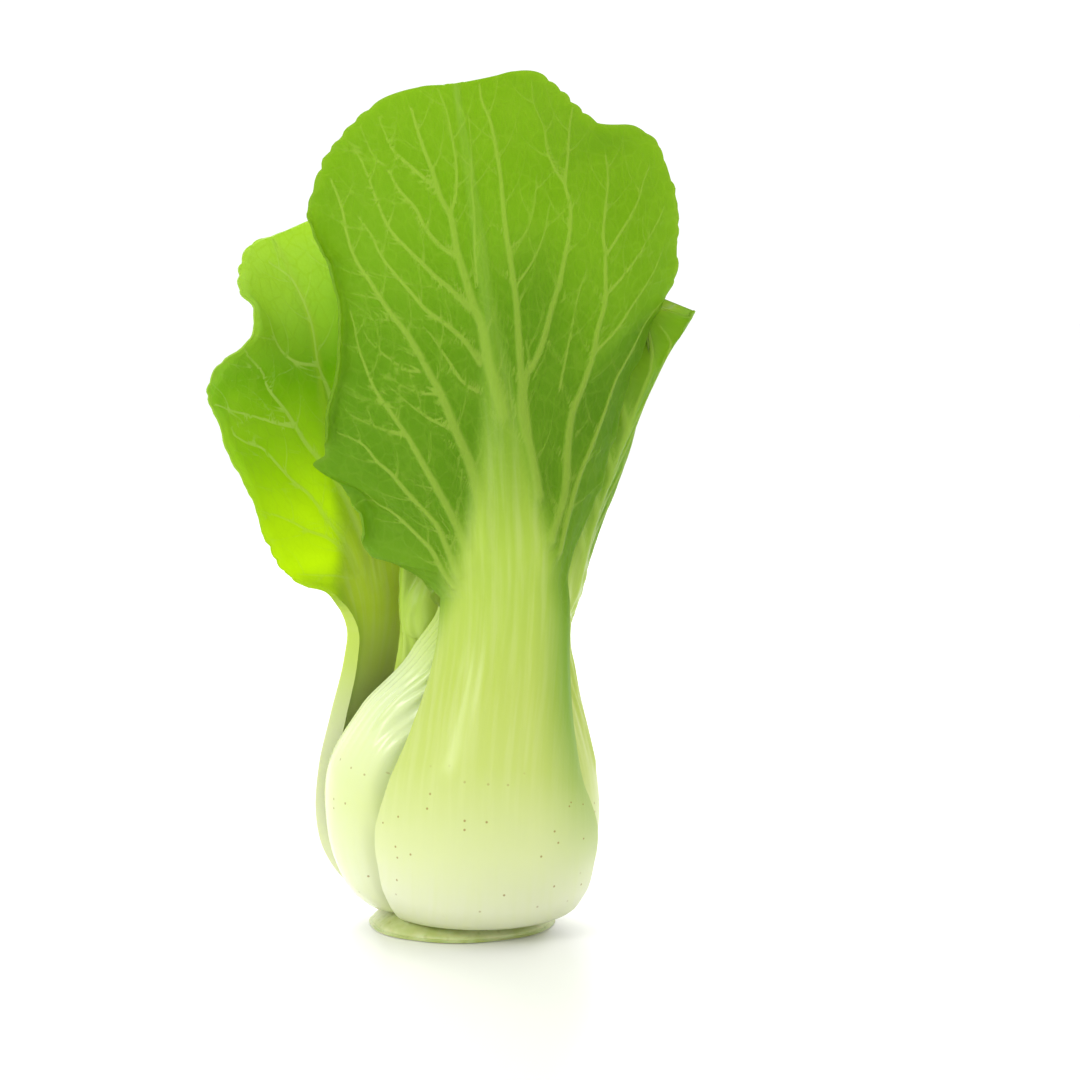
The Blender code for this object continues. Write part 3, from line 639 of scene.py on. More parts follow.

# %% [markdown]
# ## Veins
# A leaf's veins leave the midrib steeply and curve out to the margin. Those of the two blades that face the
# viewer are listed, because they are what the eye reads first. The others follow a rule. Each line here
# is a half width at its start and one at its end, then points across and up.

# %% Listed veins
VEINS = {
    "leaf_front": (
        (2.2, 0.5, (9, 106.5), (7.5, 112), (6, 117.5), (5, 123.5), (3, 129), (1.5, 134), (0, 139), (-1, 145),
         (-3, 149), (-4.5, 154), (-6, 158), (-7.5, 162.5), (-8.5, 166)),
        (1.6, 0.45, (16, 90), (14.5, 98.5), (12.5, 106.5), (12.5, 114), (12, 121.5), (11.5, 129),
         (10.5, 136.5), (9.5, 143), (9, 148), (8.5, 153.5), (7.5, 159.5), (6.5, 164), (5, 167.5),
         (4.5, 170.5)),
        (1, 0.4, (2.5, 127.5), (-1, 131), (-4, 133.5), (-7, 136.5), (-10, 139.5), (-13, 143), (-15.5, 148.5),
         (-17, 152.5), (-19, 157), (-21, 159.5)),
        (0.8, 0.35, (-0.5, 138), (-3, 139.5), (-6, 143), (-8, 147), (-11, 150.5), (-13.5, 154.5), (-16, 157),
         (-17.5, 160), (-18.5, 162.5)),
        (0.8, 0.35, (-3.5, 150.5), (-7, 153.5), (-10, 156), (-12.5, 158.5), (-14, 162), (-15, 164.5)),
        (0.6, 0.35, (-1, 146), (0, 150.5), (0, 156), (-1, 162), (-2, 166.5), (-3.5, 170)),
        (0.5, 0.3, (4, 132.5), (3.5, 138.5), (3.5, 145), (3, 152), (3, 157), (2.5, 164.5)),
        (1, 0.4, (4.5, 116.5), (1.5, 121), (-2.5, 124.5), (-6, 127), (-9, 130.5), (-12, 134), (-15, 138),
         (-16.5, 141.5), (-19, 145)),
        (0.7, 0.35, (4, 111), (1, 113), (-1, 116), (-3, 119), (-5, 122), (-6.5, 123.5)),
        (2, 0.5, (5.5, 80.5), (4, 90), (2, 97.5), (-0.5, 103.5), (-3, 110), (-5.5, 114.5), (-7.5, 118.5),
         (-10, 122.5), (-13.5, 127), (-17, 132.5), (-20, 137), (-21.5, 142), (-22.5, 147), (-24.5, 152)),
        (1.8, 0.4, (2.5, 76.5), (1.5, 80), (-0.5, 84.5), (-2.5, 88.5), (-5.5, 94), (-8, 98.5), (-10, 102),
         (-13.5, 107), (-16, 110.5), (-18, 115), (-19.5, 120), (-21, 126.5)),
        (1.3, 0.4, (0, 74), (-2.5, 80), (-4, 83.5), (-6.5, 86.5), (-10.5, 91), (-13.5, 94.5), (-16, 96.5),
         (-18.5, 99.5), (-21, 101), (-24, 102)),
        (1.1, 0.4, (-1, 71.5), (-3.5, 75.5), (-5.5, 79), (-8, 81.5), (-11, 84.5), (-13.5, 86.5), (-16.5, 88),
         (-18.5, 90)),
        (0.6, 0.3, (-10.5, 102), (-14.5, 103), (-18.5, 104.5), (-22, 106.5)),
        (0.6, 0.3, (-1.5, 103.5), (-5.5, 105.5), (-8.5, 107.5), (-11.5, 110), (-14.5, 112.5)),
        (0.6, 0.3, (-4, 110.5), (-7.5, 110.5), (-11, 112), (-14.5, 114)),
        (0.6, 0.3, (-6, 115), (-9.5, 115), (-13, 117), (-15.5, 119), (-17.5, 121), (-18.5, 123)),
        (0.5, 0.3, (-14.5, 129), (-17.5, 129.5), (-20.5, 130)),
        (0.45, 0.3, (-12, 125), (-16.5, 125), (-19.5, 126)),
        (1.3, 0.45, (14, 101.5), (13, 112.5), (15, 116.5), (17, 121.5), (18.5, 127.5), (20, 132.5),
         (21, 137.5), (22, 142.5), (22, 147.5), (21, 151.5), (21.5, 156), (22, 162), (22.5, 166)),
        (0.6, 0.3, (21, 151.5), (19, 154.5), (17.5, 158.5), (17, 162.5), (15, 167), (14.5, 171)),
        (1.7, 0.4, (18.5, 81), (21, 90), (21.5, 99.5), (22.5, 106.5), (24.5, 111.5), (26.5, 117.5),
         (27.5, 123), (29, 128.5), (29, 134), (29, 137.5), (28.5, 142), (29, 147.5), (29.5, 152), (29, 157)),
        (0.6, 0.35, (29.5, 138), (32, 142), (35, 147), (36.5, 151.5), (38, 155)),
        (0.6, 0.35, (30, 130.5), (33.5, 134.5), (36.5, 139), (39.5, 144), (41, 147)),
        (0.7, 0.35, (26.5, 118), (31, 122.5), (34.5, 127.5), (38, 133), (41, 138.5)),
        (1.2, 0.4, (20, 78), (23, 90.5), (26, 98.5), (29, 106.5), (32, 114), (35.5, 120.5), (38.5, 125.5),
         (42, 128.5)),
        (0.5, 0.3, (20, 111), (22, 121.5), (23.5, 129), (24.5, 132.5), (25.5, 135)),
        (0.5, 0.3, (10.5, 139.5), (13, 141.5), (15, 147), (15.5, 153)),
        (0.5, 0.3, (12, 132.5), (15, 137), (17, 142), (18, 147.5)),
    ),
    "leaf_left": (
        (1.6, 0.4, (-19.5, 67.5), (-20.5, 73.5), (-22, 78.5), (-24.5, 85.5), (-27, 91), (-30, 95),
         (-32.5, 98.5), (-34.5, 102), (-36.5, 105.5), (-39.5, 109.5), (-40.5, 113), (-42.5, 116), (-45, 119)),
        (1.4, 0.4, (-18.5, 69.5), (-19.5, 76.5), (-22.5, 86), (-25.5, 98.5), (-27.5, 108), (-30, 114),
         (-31, 121), (-33, 127), (-35.5, 131.5), (-39.5, 134.5)),
        (0.7, 0.35, (-30, 113.5), (-34, 114.5), (-37, 117), (-39.5, 121.5), (-40.5, 124)),
        (1.1, 0.4, (-22.5, 71), (-24.5, 77), (-27.5, 82), (-31.5, 87.5), (-34.5, 90.5), (-38, 94.5),
         (-40.5, 97.5), (-43.5, 99), (-46, 101)),
        (0.7, 0.35, (-34.5, 101.5), (-38, 102.5), (-42, 104), (-46, 105.5), (-48.5, 107)),
        (0.9, 0.35, (-23, 70.5), (-24.5, 75), (-27.5, 78.5), (-31.5, 80.5), (-34.5, 82.5), (-38, 84.5),
         (-41.5, 85.5)),
        (0.6, 0.3, (-24, 70), (-26.5, 71), (-30, 71.5), (-33.5, 72.5)),
        (0.8, 0.35, (-21.5, 121.5), (-24, 129), (-26.5, 132), (-28, 135.5), (-31, 139)),
    ),
}

# %% [markdown]
# A vein is a line on the leaf's face with a width that tapers. Where it runs is worked out as whole arrays.
# Finer veins leave the listed ones by a seeded draw.


# %% Laying veins on a face
def laid_on(face, points):
    """Points of the face over these places in the front view, with the depth of the nearest corner."""
    x, z = np.array(points, float).T
    flat = face.reshape(-1, 3)
    away = (flat[:, 0] - x[:, None]) ** 2 + (flat[:, 2] - z[:, None]) ** 2
    return np.stack([x, flat[away.argmin(1), 1], z], axis=1)


def set_veins(face, lines):
    """Listed veins as smooth lines of points, each with its tapering half width."""
    made = []
    for start, end, *points in lines:
        knots = laid_on(face, points)
        u = np.linspace(0, len(knots) - 1, 5 * len(knots))
        width = 0.75 * (end + (start - end) * (1 - u / u[-1]) ** 1.3)
        made.append((smooth(np.arange(len(knots)), knots, u), width))
    return made


def side_veins(face, lines, chance):
    """Fine veins that leave the listed ones on both sides in turn, every 5 mm or so, and bend forwards.

    On its way out, its pull away from its parent falls from 0.8 to 0.55, and its pull along it grows to 1."""
    made = []
    s = np.linspace(0, 1, 8)[:, None]
    for parent, *_ in lines:
        length = lengths_along(parent)
        side = chance.choice((-1, 1))
        at = chance.uniform(4, 8)
        while at < length[-1] - 2:
            here = np.array([np.interp(at, length, parent[:, k]) for k in (0, 2)])
            ahead = np.array([np.interp(at + 1, length, parent[:, k]) for k in (0, 2)]) - here
            away = side * np.array((ahead[1], -ahead[0]))
            reach = chance.uniform(7, 13) / np.linalg.norm(ahead)
            line = here + reach * s * (away * (0.8 - 0.25 * s) + ahead * (0.6 + 0.4 * s))
            made.append((laid_on(face, line), 0.26 - 0.14 * s[:, 0]))
            at += chance.uniform(3.5, 7)
            side = -side
    return made


print("hand-set veins:", {name: len(lines) for name, lines in VEINS.items()})

# %% [markdown]
# The other leaves get a midrib and nine veins on each side, with two forks each. They are counted in rows and
# columns of the face, so they follow its form.


# %% Veins by rule
FIRST_VEINS = (-0.16, -0.09, -0.02, 0.07, 0.17, 0.28, 0.40, 0.53, 0.66)
FORKS = ((0.35, 0.22, 0.2), (0.6, -0.16, 0.0))


def point_at(face, row, column):
    """The face at rows and columns that may lie between its corners."""
    i = np.clip(np.floor(row).astype(int), 0, face.shape[0] - 2)
    j = np.clip(np.floor(column).astype(int), 0, face.shape[1] - 2)
    s, t = (row - i)[:, None], (column - j)[:, None]
    low = face[i, j] * (1 - t) + face[i, j + 1] * t
    high = face[i + 1, j] * (1 - t) + face[i + 1, j + 1] * t
    return low * (1 - s) + high * s


def grown_veins(face, stalk_rows, size, chance):
    """Veins by rule: each leaves the midrib at a share of the blade's length, climbs and turns outwards.

    Its share of the half width grows as about u ** 1.5 while it climbs evenly with u."""
    rows, columns = face.shape[:2]
    middle, blade = columns // 2, rows - 1 - stalk_rows
    u = np.linspace(0, 1, 20)
    midrib = point_at(face, stalk_rows + blade * 0.97 * u, middle + 0 * u)
    made = [(midrib, size * (0.4 + 1.6 * (1 - u) ** 2))]
    for side in (-1, 1):
        for first in FIRST_VEINS:
            first = first + chance.uniform(-0.02, 0.02)
            climb = chance.uniform(0.22, 0.32)
            row = stalk_rows + blade * (first + climb * u)
            share = 0.93 * u ** chance.uniform(1.3, 1.7)
            width = size * (0.35 + 0.8 * (1 - u) ** 1.2)
            made.append((point_at(face, row, middle * (1 + side * share)), width))
            for leave, bend, onwards in FORKS:
                row = stalk_rows + blade * (first + climb * leave + 0.16 * u)
                share = 0.93 * leave ** 1.5 + bend * u ** 1.2 + onwards * u
                fork = point_at(face, row, middle * (1 + side * np.clip(share, 0, 0.97)))
                made.append((fork, size * (0.3 + 0.25 * (1 - u))))
    return made


print("veins by rule:", 1 + 2 * len(FIRST_VEINS) * (1 + len(FORKS)))

# %% [markdown]
# Every point of a face then asks where it is beside the nearest vein. The answer is signed, so that between a
# point on the left and one on the right it passes evenly through 0, and the material can draw a crisp line.


# %% Points beside veins
VEIN_REACH = 5.0
FAR = 9.0


def vein_fields(points, facing, lines):
    """For each point: where it is across its nearest vein in half widths, relief, distance, and how firm."""
    beside = np.full(len(points), VEIN_REACH)
    raised = np.zeros(len(points))
    nearest = np.full(len(points), FAR)
    firm = np.zeros(len(points))
    for path, width in lines:
        low, high = path.min(0) - 6, path.max(0) + 6
        near = np.flatnonzero(((points > low) & (points < high)).all(1))
        start, step = path[:-1], np.diff(path, axis=0)
        from_start = points[near][:, None] - start
        t = np.clip((from_start * step).sum(-1) / np.maximum((step**2).sum(-1), 1e-9), 0, 1)
        off = from_start - t[..., None] * step
        gap = np.linalg.norm(off, axis=-1)
        wide = width[:-1] + t * np.diff(width)
        felt = np.exp(-((gap / np.maximum(wide, 0.6)) ** 2))
        raised[near] = np.maximum(raised[near], (felt * np.minimum(wide, 1.1)).max(1))
        if wide.max() > 0.3:
            nearest[near] = np.minimum(nearest[near], gap.min(1))
        first = (gap / wide).argmin(1)
        each = np.arange(len(near))
        hand = np.sign((np.cross(step[first], off[each, first]) * facing[near]).sum(-1))
        ratio = hand * np.minimum((gap / wide)[each, first], VEIN_REACH)
        closer = np.abs(ratio) < np.abs(beside[near])
        beside[near] = np.where(closer, ratio, beside[near])
        firm[near] = np.where(closer, np.clip(wide[each, first] * 2.2, 0.3, 1), firm[near])
    return beside, raised, nearest, firm


print("a vein is drawn up to", VEIN_REACH, "half widths from its middle")

# %% [markdown]
# ## The fine face of a leaf
# The coarse leaf gives the place and the form. The same rules on a grid finer than a millimetre give a smooth
# face, and the coarse leaf's push is spread over it as a smooth surface.


# %% A fine face
def levels(stalk_rows, blade_rows):
    """Where the rows of a leaf are: the stalk's run from 0 to 1, and the blade's from 1 to 2."""
    return np.concatenate([np.arange(stalk_rows) / stalk_rows, np.linspace(1, 2, blade_rows)])


def unrolled(leaf, stalk_rows, blade_rows, half_columns):
    """The leaf's fine outer face with its press, and what is known at every point of it, by name.

    `up` runs from 0 at the foot to 1 at the neck and on, and `past` from 0 at the neck to 1 at the tip."""
    shares = np.linspace(0, 1, half_columns)
    face, facing, across, along, share = sculpt(leaf, stalk_rows, blade_rows, shares)
    wall, proud = thickness(leaf, across, along)
    knots_over = np.concatenate([-np.array(COLUMNS)[:0:-1], COLUMNS])
    push = smooth(levels(*rows_for(leaf)), pushes[leaf["name"]], levels(stalk_rows, blade_rows))
    push = smooth(knots_over, push.transpose(1, 0, 2), share[0]).transpose(1, 0, 2)
    length, _, neck_at = spine_of(leaf)
    past = (along - neck_at) / (length[-1] - neck_at)
    return SimpleNamespace(
        face=face + normals_of(face, facing) * proud[..., None] + push, facing=facing, wall=wall,
        across=across, along=along, share=share, off=np.abs(share), from_neck=along - neck_at,
        up=along / neck_at, past=past, blade=ease(0.0, 0.18, past),
    )


print("rows of a small leaf are at", np.round(levels(3, 3), 2))

# %% [markdown]
# Then come the ribs of the stalk, the blade's puckers between its veins, ruffles, folds, rolled margins and
# small teeth. A fold is (side, how far past the neck, spread, share of the half width where it begins, size).
# A rolled margin is (side, first and last millimetre past the neck, share where the roll begins, turn). The
# greener margin of a stalk is (side, share where it begins, strength), and side 0 means both. On both sides
# it is the stalk's own greener margin; given on one side only it is also painted shade on that side,
# strongest down the right of the front leaf's stalk.

# %% Ribs, puckers, ruffles and teeth
# A greener stalk margin given on one side only is painted shade on that side, strongest on the front leaf.
FORMS = {
    "leaf_front": dict(ribs=0.09, blush=(1, 0.3, 1.0),
                       rolled=((-1, 8, 24, 0.9, 2.2), (-1, 30, 84, 0.94, 2.4))),
    "leaf_left": dict(ribs=0.0, blush=(0, 0.6, 0.2), folds=((1, 64, 8, 0.3, -1.4), (1, 51, 6, 0.4, 1.2))),
    "leaf_left_front": dict(ribs=0.55, blush=(1, 0.3, 0.5)),
}
RIB_HEIGHT = 0.3
RIBS_PER_SIDE = 5.5
PUCKER_DEPTH = 0.35
PUCKER_SPREAD = 3.0
RUFFLE = 0.5
TOOTH = 3.1


def form_of(leaf, key, usual):
    """What FORMS says about this leaf, or what is usual."""
    return FORMS.get(leaf["name"], {}).get(key, usual)


def seed_of(leaf):
    """A number of the leaf's own, so that no two leaves are uneven in the same way."""
    return len(leaf["name"]) + int(10 * leaf["thick"])


def ripple(x, seed):
    """Three sines with no common period, for unevenness that never repeats: between about -1 and 1."""
    a, b, c = np.random.default_rng(seed).uniform(0, 2 * np.pi, 3)
    return 0.5 * np.sin(x + a) + 0.3 * np.sin(1.73 * x + b) + 0.2 * np.sin(2.91 * x + c)


def relief_of(leaf, at, nearest):
    """How far each point stands in or out: ribs on the stalk, and what makes the blade uneven."""
    seed = seed_of(leaf)
    ribs = 0.5 + 0.5 * np.cos(2 * np.pi * RIBS_PER_SIDE * at.share + 1.5 * ripple(at.along / 30, seed))
    ribs = ribs * form_of(leaf, "ribs", RIB_HEIGHT) * ease(0.45, 0.95, at.up) * (1 - ease(0.05, 0.3, at.past))
    puckers = -PUCKER_DEPTH * (1 - np.exp(-((nearest / PUCKER_SPREAD) ** 2))) * (1 - ease(0.9, 1, at.off))
    drift = 0.35 * ripple(at.across / 5.5 + 0.6 * ripple(at.along / 9, seed), seed + 1)
    drift = drift * ripple(at.along / 7, seed)
    ruffle = RUFFLE * at.off**5 * ripple(at.along / 2.1 + 2 * np.sign(at.share), seed + 2)
    relief = ribs + (1 - ease(0.9, 0.98, at.past)) * at.blade * (puckers + drift + ruffle)
    for side, where, spread, inner_share, size in form_of(leaf, "folds", ()):
        reach = ease(inner_share, 1.0, at.share * side)
        relief = relief + size * reach * np.exp(-(((at.from_neck - where) / spread) ** 2))
    return relief


def rolled_over(face, at, side, first, last, inner_share, turn):
    """The move that rolls a margin outwards: a strip w wide and flat becomes an arc through `turn` radians.

    At an angle t round the arc its points are at (sin t, 1 - cos t) * w / t from where the roll starts."""
    column = int(np.abs(at.share[0] - side * inner_share).argmin())
    out = unit(face[:, column] - face[:, column - side])
    on = ease(first, first + 6, at.from_neck) * (1 - ease(last - 6, last, at.from_neck))
    angle = turn * on * np.clip((at.share * side - inner_share) / (1 - inner_share), 0, 1)
    angle = np.maximum(angle, 1e-6)
    strip = np.linalg.norm(face - face[:, column:column + 1], axis=-1)
    flat = strip * (np.sin(angle) / angle - 1)
    lift = strip * (1 - np.cos(angle)) / angle
    normal = normals_of(face, at.facing)[:, column:column + 1]
    return out[:, None] * flat[..., None] + normal * lift[..., None]


def shaped(leaf, at, nearest):
    """The face with its relief, then its rolled margins, then the teeth along its edge."""
    seed = seed_of(leaf)
    face = at.face + normals_of(at.face, at.facing) * relief_of(leaf, at, nearest)[..., None]
    for roll in form_of(leaf, "rolled", ()):
        face = face + rolled_over(face, at, *roll)
    beat = np.sin(np.pi * at.along / TOOTH + 1.2 * ripple(at.along / 4, seed + 5))
    teeth = 0.55 * np.abs(beat) ** 0.7 - 0.2
    teeth = teeth * (1 + 0.5 * ripple(at.along / 5, seed + 6)) * ease(0.04, 0.2, at.past) * at.off**24
    teeth[-3:] = 0
    outwards = unit(np.gradient(face, axis=1) * np.sign(at.share)[..., None])
    return face + outwards * teeth[..., None]


print("unevenness:", np.round(ripple(np.arange(4.0), 1), 2))

# %% [markdown]
# ## From a face to a closed shell
# The outer and inner faces share their rows, so a strip of quads along the margin and the foot closes them.
# What the material needs is stored on the points: `rise` up the leaf, `pale` where it is stalk, `vein` across
# the nearest vein and `near_vein` close to one, how green the stalk's margins are, which on one side only is
# painted shade, `edge` near the leaf's, and `inner` on the side that faces the heart. A UV map is in units of
# 100 mm.


# %% The closed shell
PALE_WIDTHS = ((-0.3, 3), (-0.1, 1.6), (0, 1), (0.1, 0.7), (0.2, 0.5), (0.35, 0.28), (0.6, 0.1), (1, 0.03))


def shell(name, outer, inner, fields, across, along):
    """A closed mesh of two faces with the same rows and columns. In the last row both halves share points."""
    rows, columns = outer.shape[:2]
    half = columns // 2 + 1
    body = (rows - 1) * columns
    count = body + half

    def listed(values):
        """The values of a grid, point by point."""
        depth = values.shape[2] if values.ndim > 2 else 1
        return np.concatenate([values[:-1].reshape(-1, depth), values[-1, :half].reshape(-1, depth)])

    last = body + np.minimum(np.arange(columns), np.arange(columns)[::-1])
    corner = np.concatenate([np.arange(body).reshape(rows - 1, columns), last[None]])
    a, b, c, d = corner[:-1, :-1], corner[:-1, 1:], corner[1:, 1:], corner[1:, :-1]
    quads = np.stack([a, b, c, d], -1).reshape(-1, 4)
    rim = np.concatenate([corner[:, 0], corner[-2::-1, -1], corner[0, -2:0:-1]])
    after = np.roll(rim, -1)
    strip = np.stack([rim, after, after + count, rim + count], 1)
    faces = [*quads.tolist(), *(quads[:, ::-1] + count).tolist(), *strip.tolist()]
    data = bpy.data.meshes.new(name)
    data.from_pydata((np.concatenate([listed(outer), listed(inner)]) * MM).tolist(), [], faces)
    for key, values in fields.items():
        both = [listed(v).ravel() for v in (values if isinstance(values, tuple) else (values, values))]
        data.attributes.new(key, "FLOAT", "POINT").data.foreach_set("value", np.concatenate(both))
    flat = listed(np.stack([across, along], -1)) / 100
    owner = np.zeros(len(data.loops), np.int32)
    data.loops.foreach_get("vertex_index", owner)
    data.uv_layers.new(name="leaf").data.foreach_set("uv", np.concatenate([flat, flat])[owner].ravel())
    data.shade_smooth()
    data.set_sharp_from_angle(angle=np.radians(60))
    return bpy.data.objects.new(name, data)


def fields_of(leaf, at, vein, firm):
    """What the material reads from the points. One value serves both faces, and a pair has one for each."""
    half = leaf["width"][1] * np.interp(at.past, *zip(*PALE_WIDTHS))
    pale = 1 - ease(0.6 * half, 1.35 * half + 0.3, np.abs(at.across))
    # The greener stalk margin: the stalk's own colour where side is 0, and painted shade where one side is
    # given.
    side, first, strength = form_of(leaf, "blush", (0, 0.5, 0.35))
    blush = strength * ease(first, 1.0, at.share * side if side else at.off) * (1 - at.blade)
    rise = 0.5 * np.clip(at.past, 0, 1) + 0.5 * np.clip(at.up, 0, 1)
    return {
        "rise": rise,
        "pale": pale * (1 - 0.6 * ease(0.08, 0.45, at.past)),
        "vein": vein,
        "near_vein": firm * np.exp(-((vein / 2.5) ** 2)),
        "blush": blush * (0.35 + 0.65 * ease(0.3, 0.9, at.up)) * ease(0.15, 0.4, at.up),
        "edge": ease(0.93, 1.0, at.off),
        "inner": (0 * rise, 0 * rise + 1),
    }


def grown(leaf, stalk_rows, blade_rows, half_columns, chance):
    """One finished leaf at its place in the head."""
    at = unrolled(leaf, stalk_rows, blade_rows, half_columns)
    if leaf["name"] in VEINS:
        lines = set_veins(at.face, VEINS[leaf["name"]])
        lines += side_veins(at.face, lines, chance)
    else:
        lines = grown_veins(at.face, stalk_rows, min(1.0, leaf["thick"] / 5), chance)
    fields = vein_fields(at.face.reshape(-1, 3), at.facing.reshape(-1, 3), lines)
    vein, raised, nearest, firm = (f.reshape(at.share.shape) for f in fields)
    face = shaped(leaf, at, nearest)
    normal = normals_of(face, at.facing)
    outer = face + normal * (0.4 * raised)[..., None]
    thin = at.wall * (1 - 0.5 * at.blade * ease(0.94, 1, at.off))
    inner = face - normal * (thin - 0.12 * raised * at.blade)[..., None]
    known = fields_of(leaf, at, vein, firm)
    return shell("leafy_" + leaf["name"][5:], outer, inner, known, at.across, at.along)


# %% [markdown]
# ## Living colour
# A stalk is nearly white at the foot and greener towards the neck, and its fibres run lengthwise. The blade
# is mid green with a fine net between lighter veins. So the patterns come first: what the points know, and
# noises laid over the face, some stretched along the leaf by its UV map.

# %% The patterns of a leaf
KNOWN = ("rise", "pale", "vein", "near_vein", "blush", "edge", "inner")
OBJECT_OUTPUT = 3
SCALE_INPUT = 3


def leaf_patterns(here):
    """Everything that varies over a leaf, by name."""
    on = SimpleNamespace(
        **{key: here.node("ShaderNodeAttribute", {"attribute_name": key}, {}, 2) for key in KNOWN}
    )
    line = 1 - here.maths("ABSOLUTE", on.vein).step(0.4, 1.15)
    on.vein = line * on.near_vein.step(0.0, 0.9) * (1 - on.pale * 0.8)
    on.blade = 1 - on.pale
    on.flat = here.node("ShaderNodeUVMap", {"uv_map": "leaf"}, {})
    place = here.node("ShaderNodeTexCoord", {}, {}, OBJECT_OUTPUT)
    lengthwise = here.node("ShaderNodeMapping", {}, {0: on.flat, SCALE_INPUT: (60, 3.5, 1)})
    on.fibres = here.node("ShaderNodeTexNoise", {}, {"Vector": lengthwise, "Scale": 1.0, "Detail": 3.0})
    on.clouds = here.node("ShaderNodeTexNoise", {}, {"Vector": place, "Scale": 70.0, "Detail": 3.0})
    on.grain = here.node("ShaderNodeTexNoise", {}, {"Vector": place, "Scale": 1400.0, "Detail": 1.0})
    cells = {"feature": "DISTANCE_TO_EDGE"}
    mesh = here.node("ShaderNodeMapping", {}, {0: on.flat, SCALE_INPUT: (1, 0.75, 1)})
    on.net = 1 - here.node("ShaderNodeTexVoronoi", cells, {"Vector": mesh, "Scale": 38.0}).step(0.0, 0.11)
    on.lace = 1 - here.node("ShaderNodeTexVoronoi", cells, {"Vector": mesh, "Scale": 95.0}).step(0.0, 0.16)
    return on


def specks(here, on):
    """Small specks low on the stalks: the middles of one in three of a pattern's cells."""
    cells = {"voronoi_dimensions": "2D"}
    scaled = {"Vector": on.flat, "Scale": 26.0}
    dots = here.node("ShaderNodeTexVoronoi", cells, scaled)
    lot = here.node("ShaderNodeSeparateColor", {}, {0: here.node("ShaderNodeTexVoronoi", cells, scaled, 1)})
    low = (1 - on.rise.step(0.22, 0.3)) * on.rise.step(0.06, 0.1)
    return (1 - dots.step(0.04, 0.085)) * lot.step(0.66, 0.68) * low * (1 - on.edge.step(0.0, 0.2))


print("the points of a leaf know:", ", ".join(KNOWN))

# %% [markdown]
# The paint is laid in coats, each mixed over the last. Stalk and blade have colours that change with the
# height on the leaf. Both are waxy. Light comes through the thin blade, so a translucent shader is mixed in
# there, and how much of it changes with the height too.


# %% The leaf material
FLESH = {
    "Subsurface Weight": 0.15, "Subsurface Radius": (0.9, 1.0, 0.25), "Subsurface Scale": 0.003,
    "Specular IOR Level": 0.14, "Coat Roughness": 0.2,
}


def painted(stops):
    """Stops of a ramp with their screen colours made linear."""
    return [(place, colour(*paint)) for place, *paint in stops]


def leaf_paint(here, on, stalk, blades, light):
    """Fibres and greener margins on the stalk, partly painted shade, patches and nets on the blade, then
    veins, edge and specks.
    """
    stalk_paint = (on.fibres.step(0.4, 0.7) * 0.2).mixed(on.rise.ramp(painted(stalk)), colour(232, 242, 170))
    # Greener stalk margins: their own colour, and on one side painted shade in a darker green.
    stalk_paint = on.blush.mixed(stalk_paint, colour(122, 170, 4))
    green = (on.clouds.step(0.3, 0.75) * 0.45).mixed(on.rise.ramp(painted(blades)), light)
    green = (on.net * 0.34 + on.lace * 0.18).mixed(green, colour(156, 204, 56))
    paint = on.pale.mixed(green, stalk_paint)
    paint = (on.vein * 0.62).mixed(paint, on.inner.mixed(colour(184, 214, 84), colour(222, 244, 130)))
    paint = (on.edge.step(0.55, 1.0) * on.blade * 0.25).mixed(paint, colour(166, 200, 90))
    return (specks(here, on) * 0.7).mixed(paint, colour(158, 122, 44))


def leaf_finish(name, stalk, blades, light, leak, through, wet=0.35):
    """A waxy leaf: colours up its stalk and blade, light patches, the light that leaks, and its share."""
    made, shader, here = blank(name)
    on = leaf_patterns(here)
    leaf_paint(here, on, stalk, blades, light).into(shader.inputs["Base Color"])
    (0.42 - on.pale * 0.08 + on.clouds * 0.08 - on.inner * 0.06).into(shader.inputs["Roughness"])
    (on.pale * wet + on.inner * 0.1).into(shader.inputs["Coat Weight"])
    height = (on.net * 0.14 + on.lace * 0.06 + on.vein * 0.3) * on.blade
    height = height + on.fibres * on.pale * 0.16 + on.grain * 0.08
    bump = here.node("ShaderNodeBump", {}, {"Height": height, "Strength": 0.5, "Distance": 0.0005})
    bump.into(shader.inputs["Normal"])
    for key, value in FLESH.items():
        shader.inputs[key].default_value = value
    leaking = here.node("ShaderNodeBsdfTranslucent", {}, {"Color": leak})
    share = on.rise.ramp([(place, (v, v, v, 1)) for place, v in through])
    finished = here.node("ShaderNodeMixShader", {}, {0: on.blade * share * (1 - on.vein * 0.3), 2: leaking})
    made.node_tree.links.new(shader.outputs[0], finished.socket.node.inputs[1])
    finished.into(made.node_tree.nodes["Material Output"].inputs["Surface"])
    made.diffuse_color = light
    print(name, "has", len(made.node_tree.nodes), "nodes")
    return made


# %% [markdown]
# The outer leaves are the greenest. The left leaf has a lighter copy of the leaf material that paints in
# light:
# its stalk and blade are painted lighter where the lamp behind shines through them, its blade is painted
# darker as shade in the hollow under its fold and lighter and whiter near the tip as a painted sheen, and
# less light comes through in that painted shade. The heart's blades use the same painted blade colours. The
# leaf beside the left leaf has the wettest stalk, with a painted highlight high on its bulb. Stops are
# (height on the leaf, red, green, blue), where 0.5 is the neck, and THIN and LIT say how much light comes
# through at a height.

# %% Four finishes
OUTER_STALK = (
    (0.0, 228, 234, 188), (0.08, 240, 245, 206), (0.16, 230, 240, 174), (0.28, 208, 225, 118),
    (0.38, 198, 218, 97), (0.46, 190, 215, 86), (0.54, 181, 211, 72), (0.62, 166, 200, 56),
    (0.74, 150, 190, 46),
)
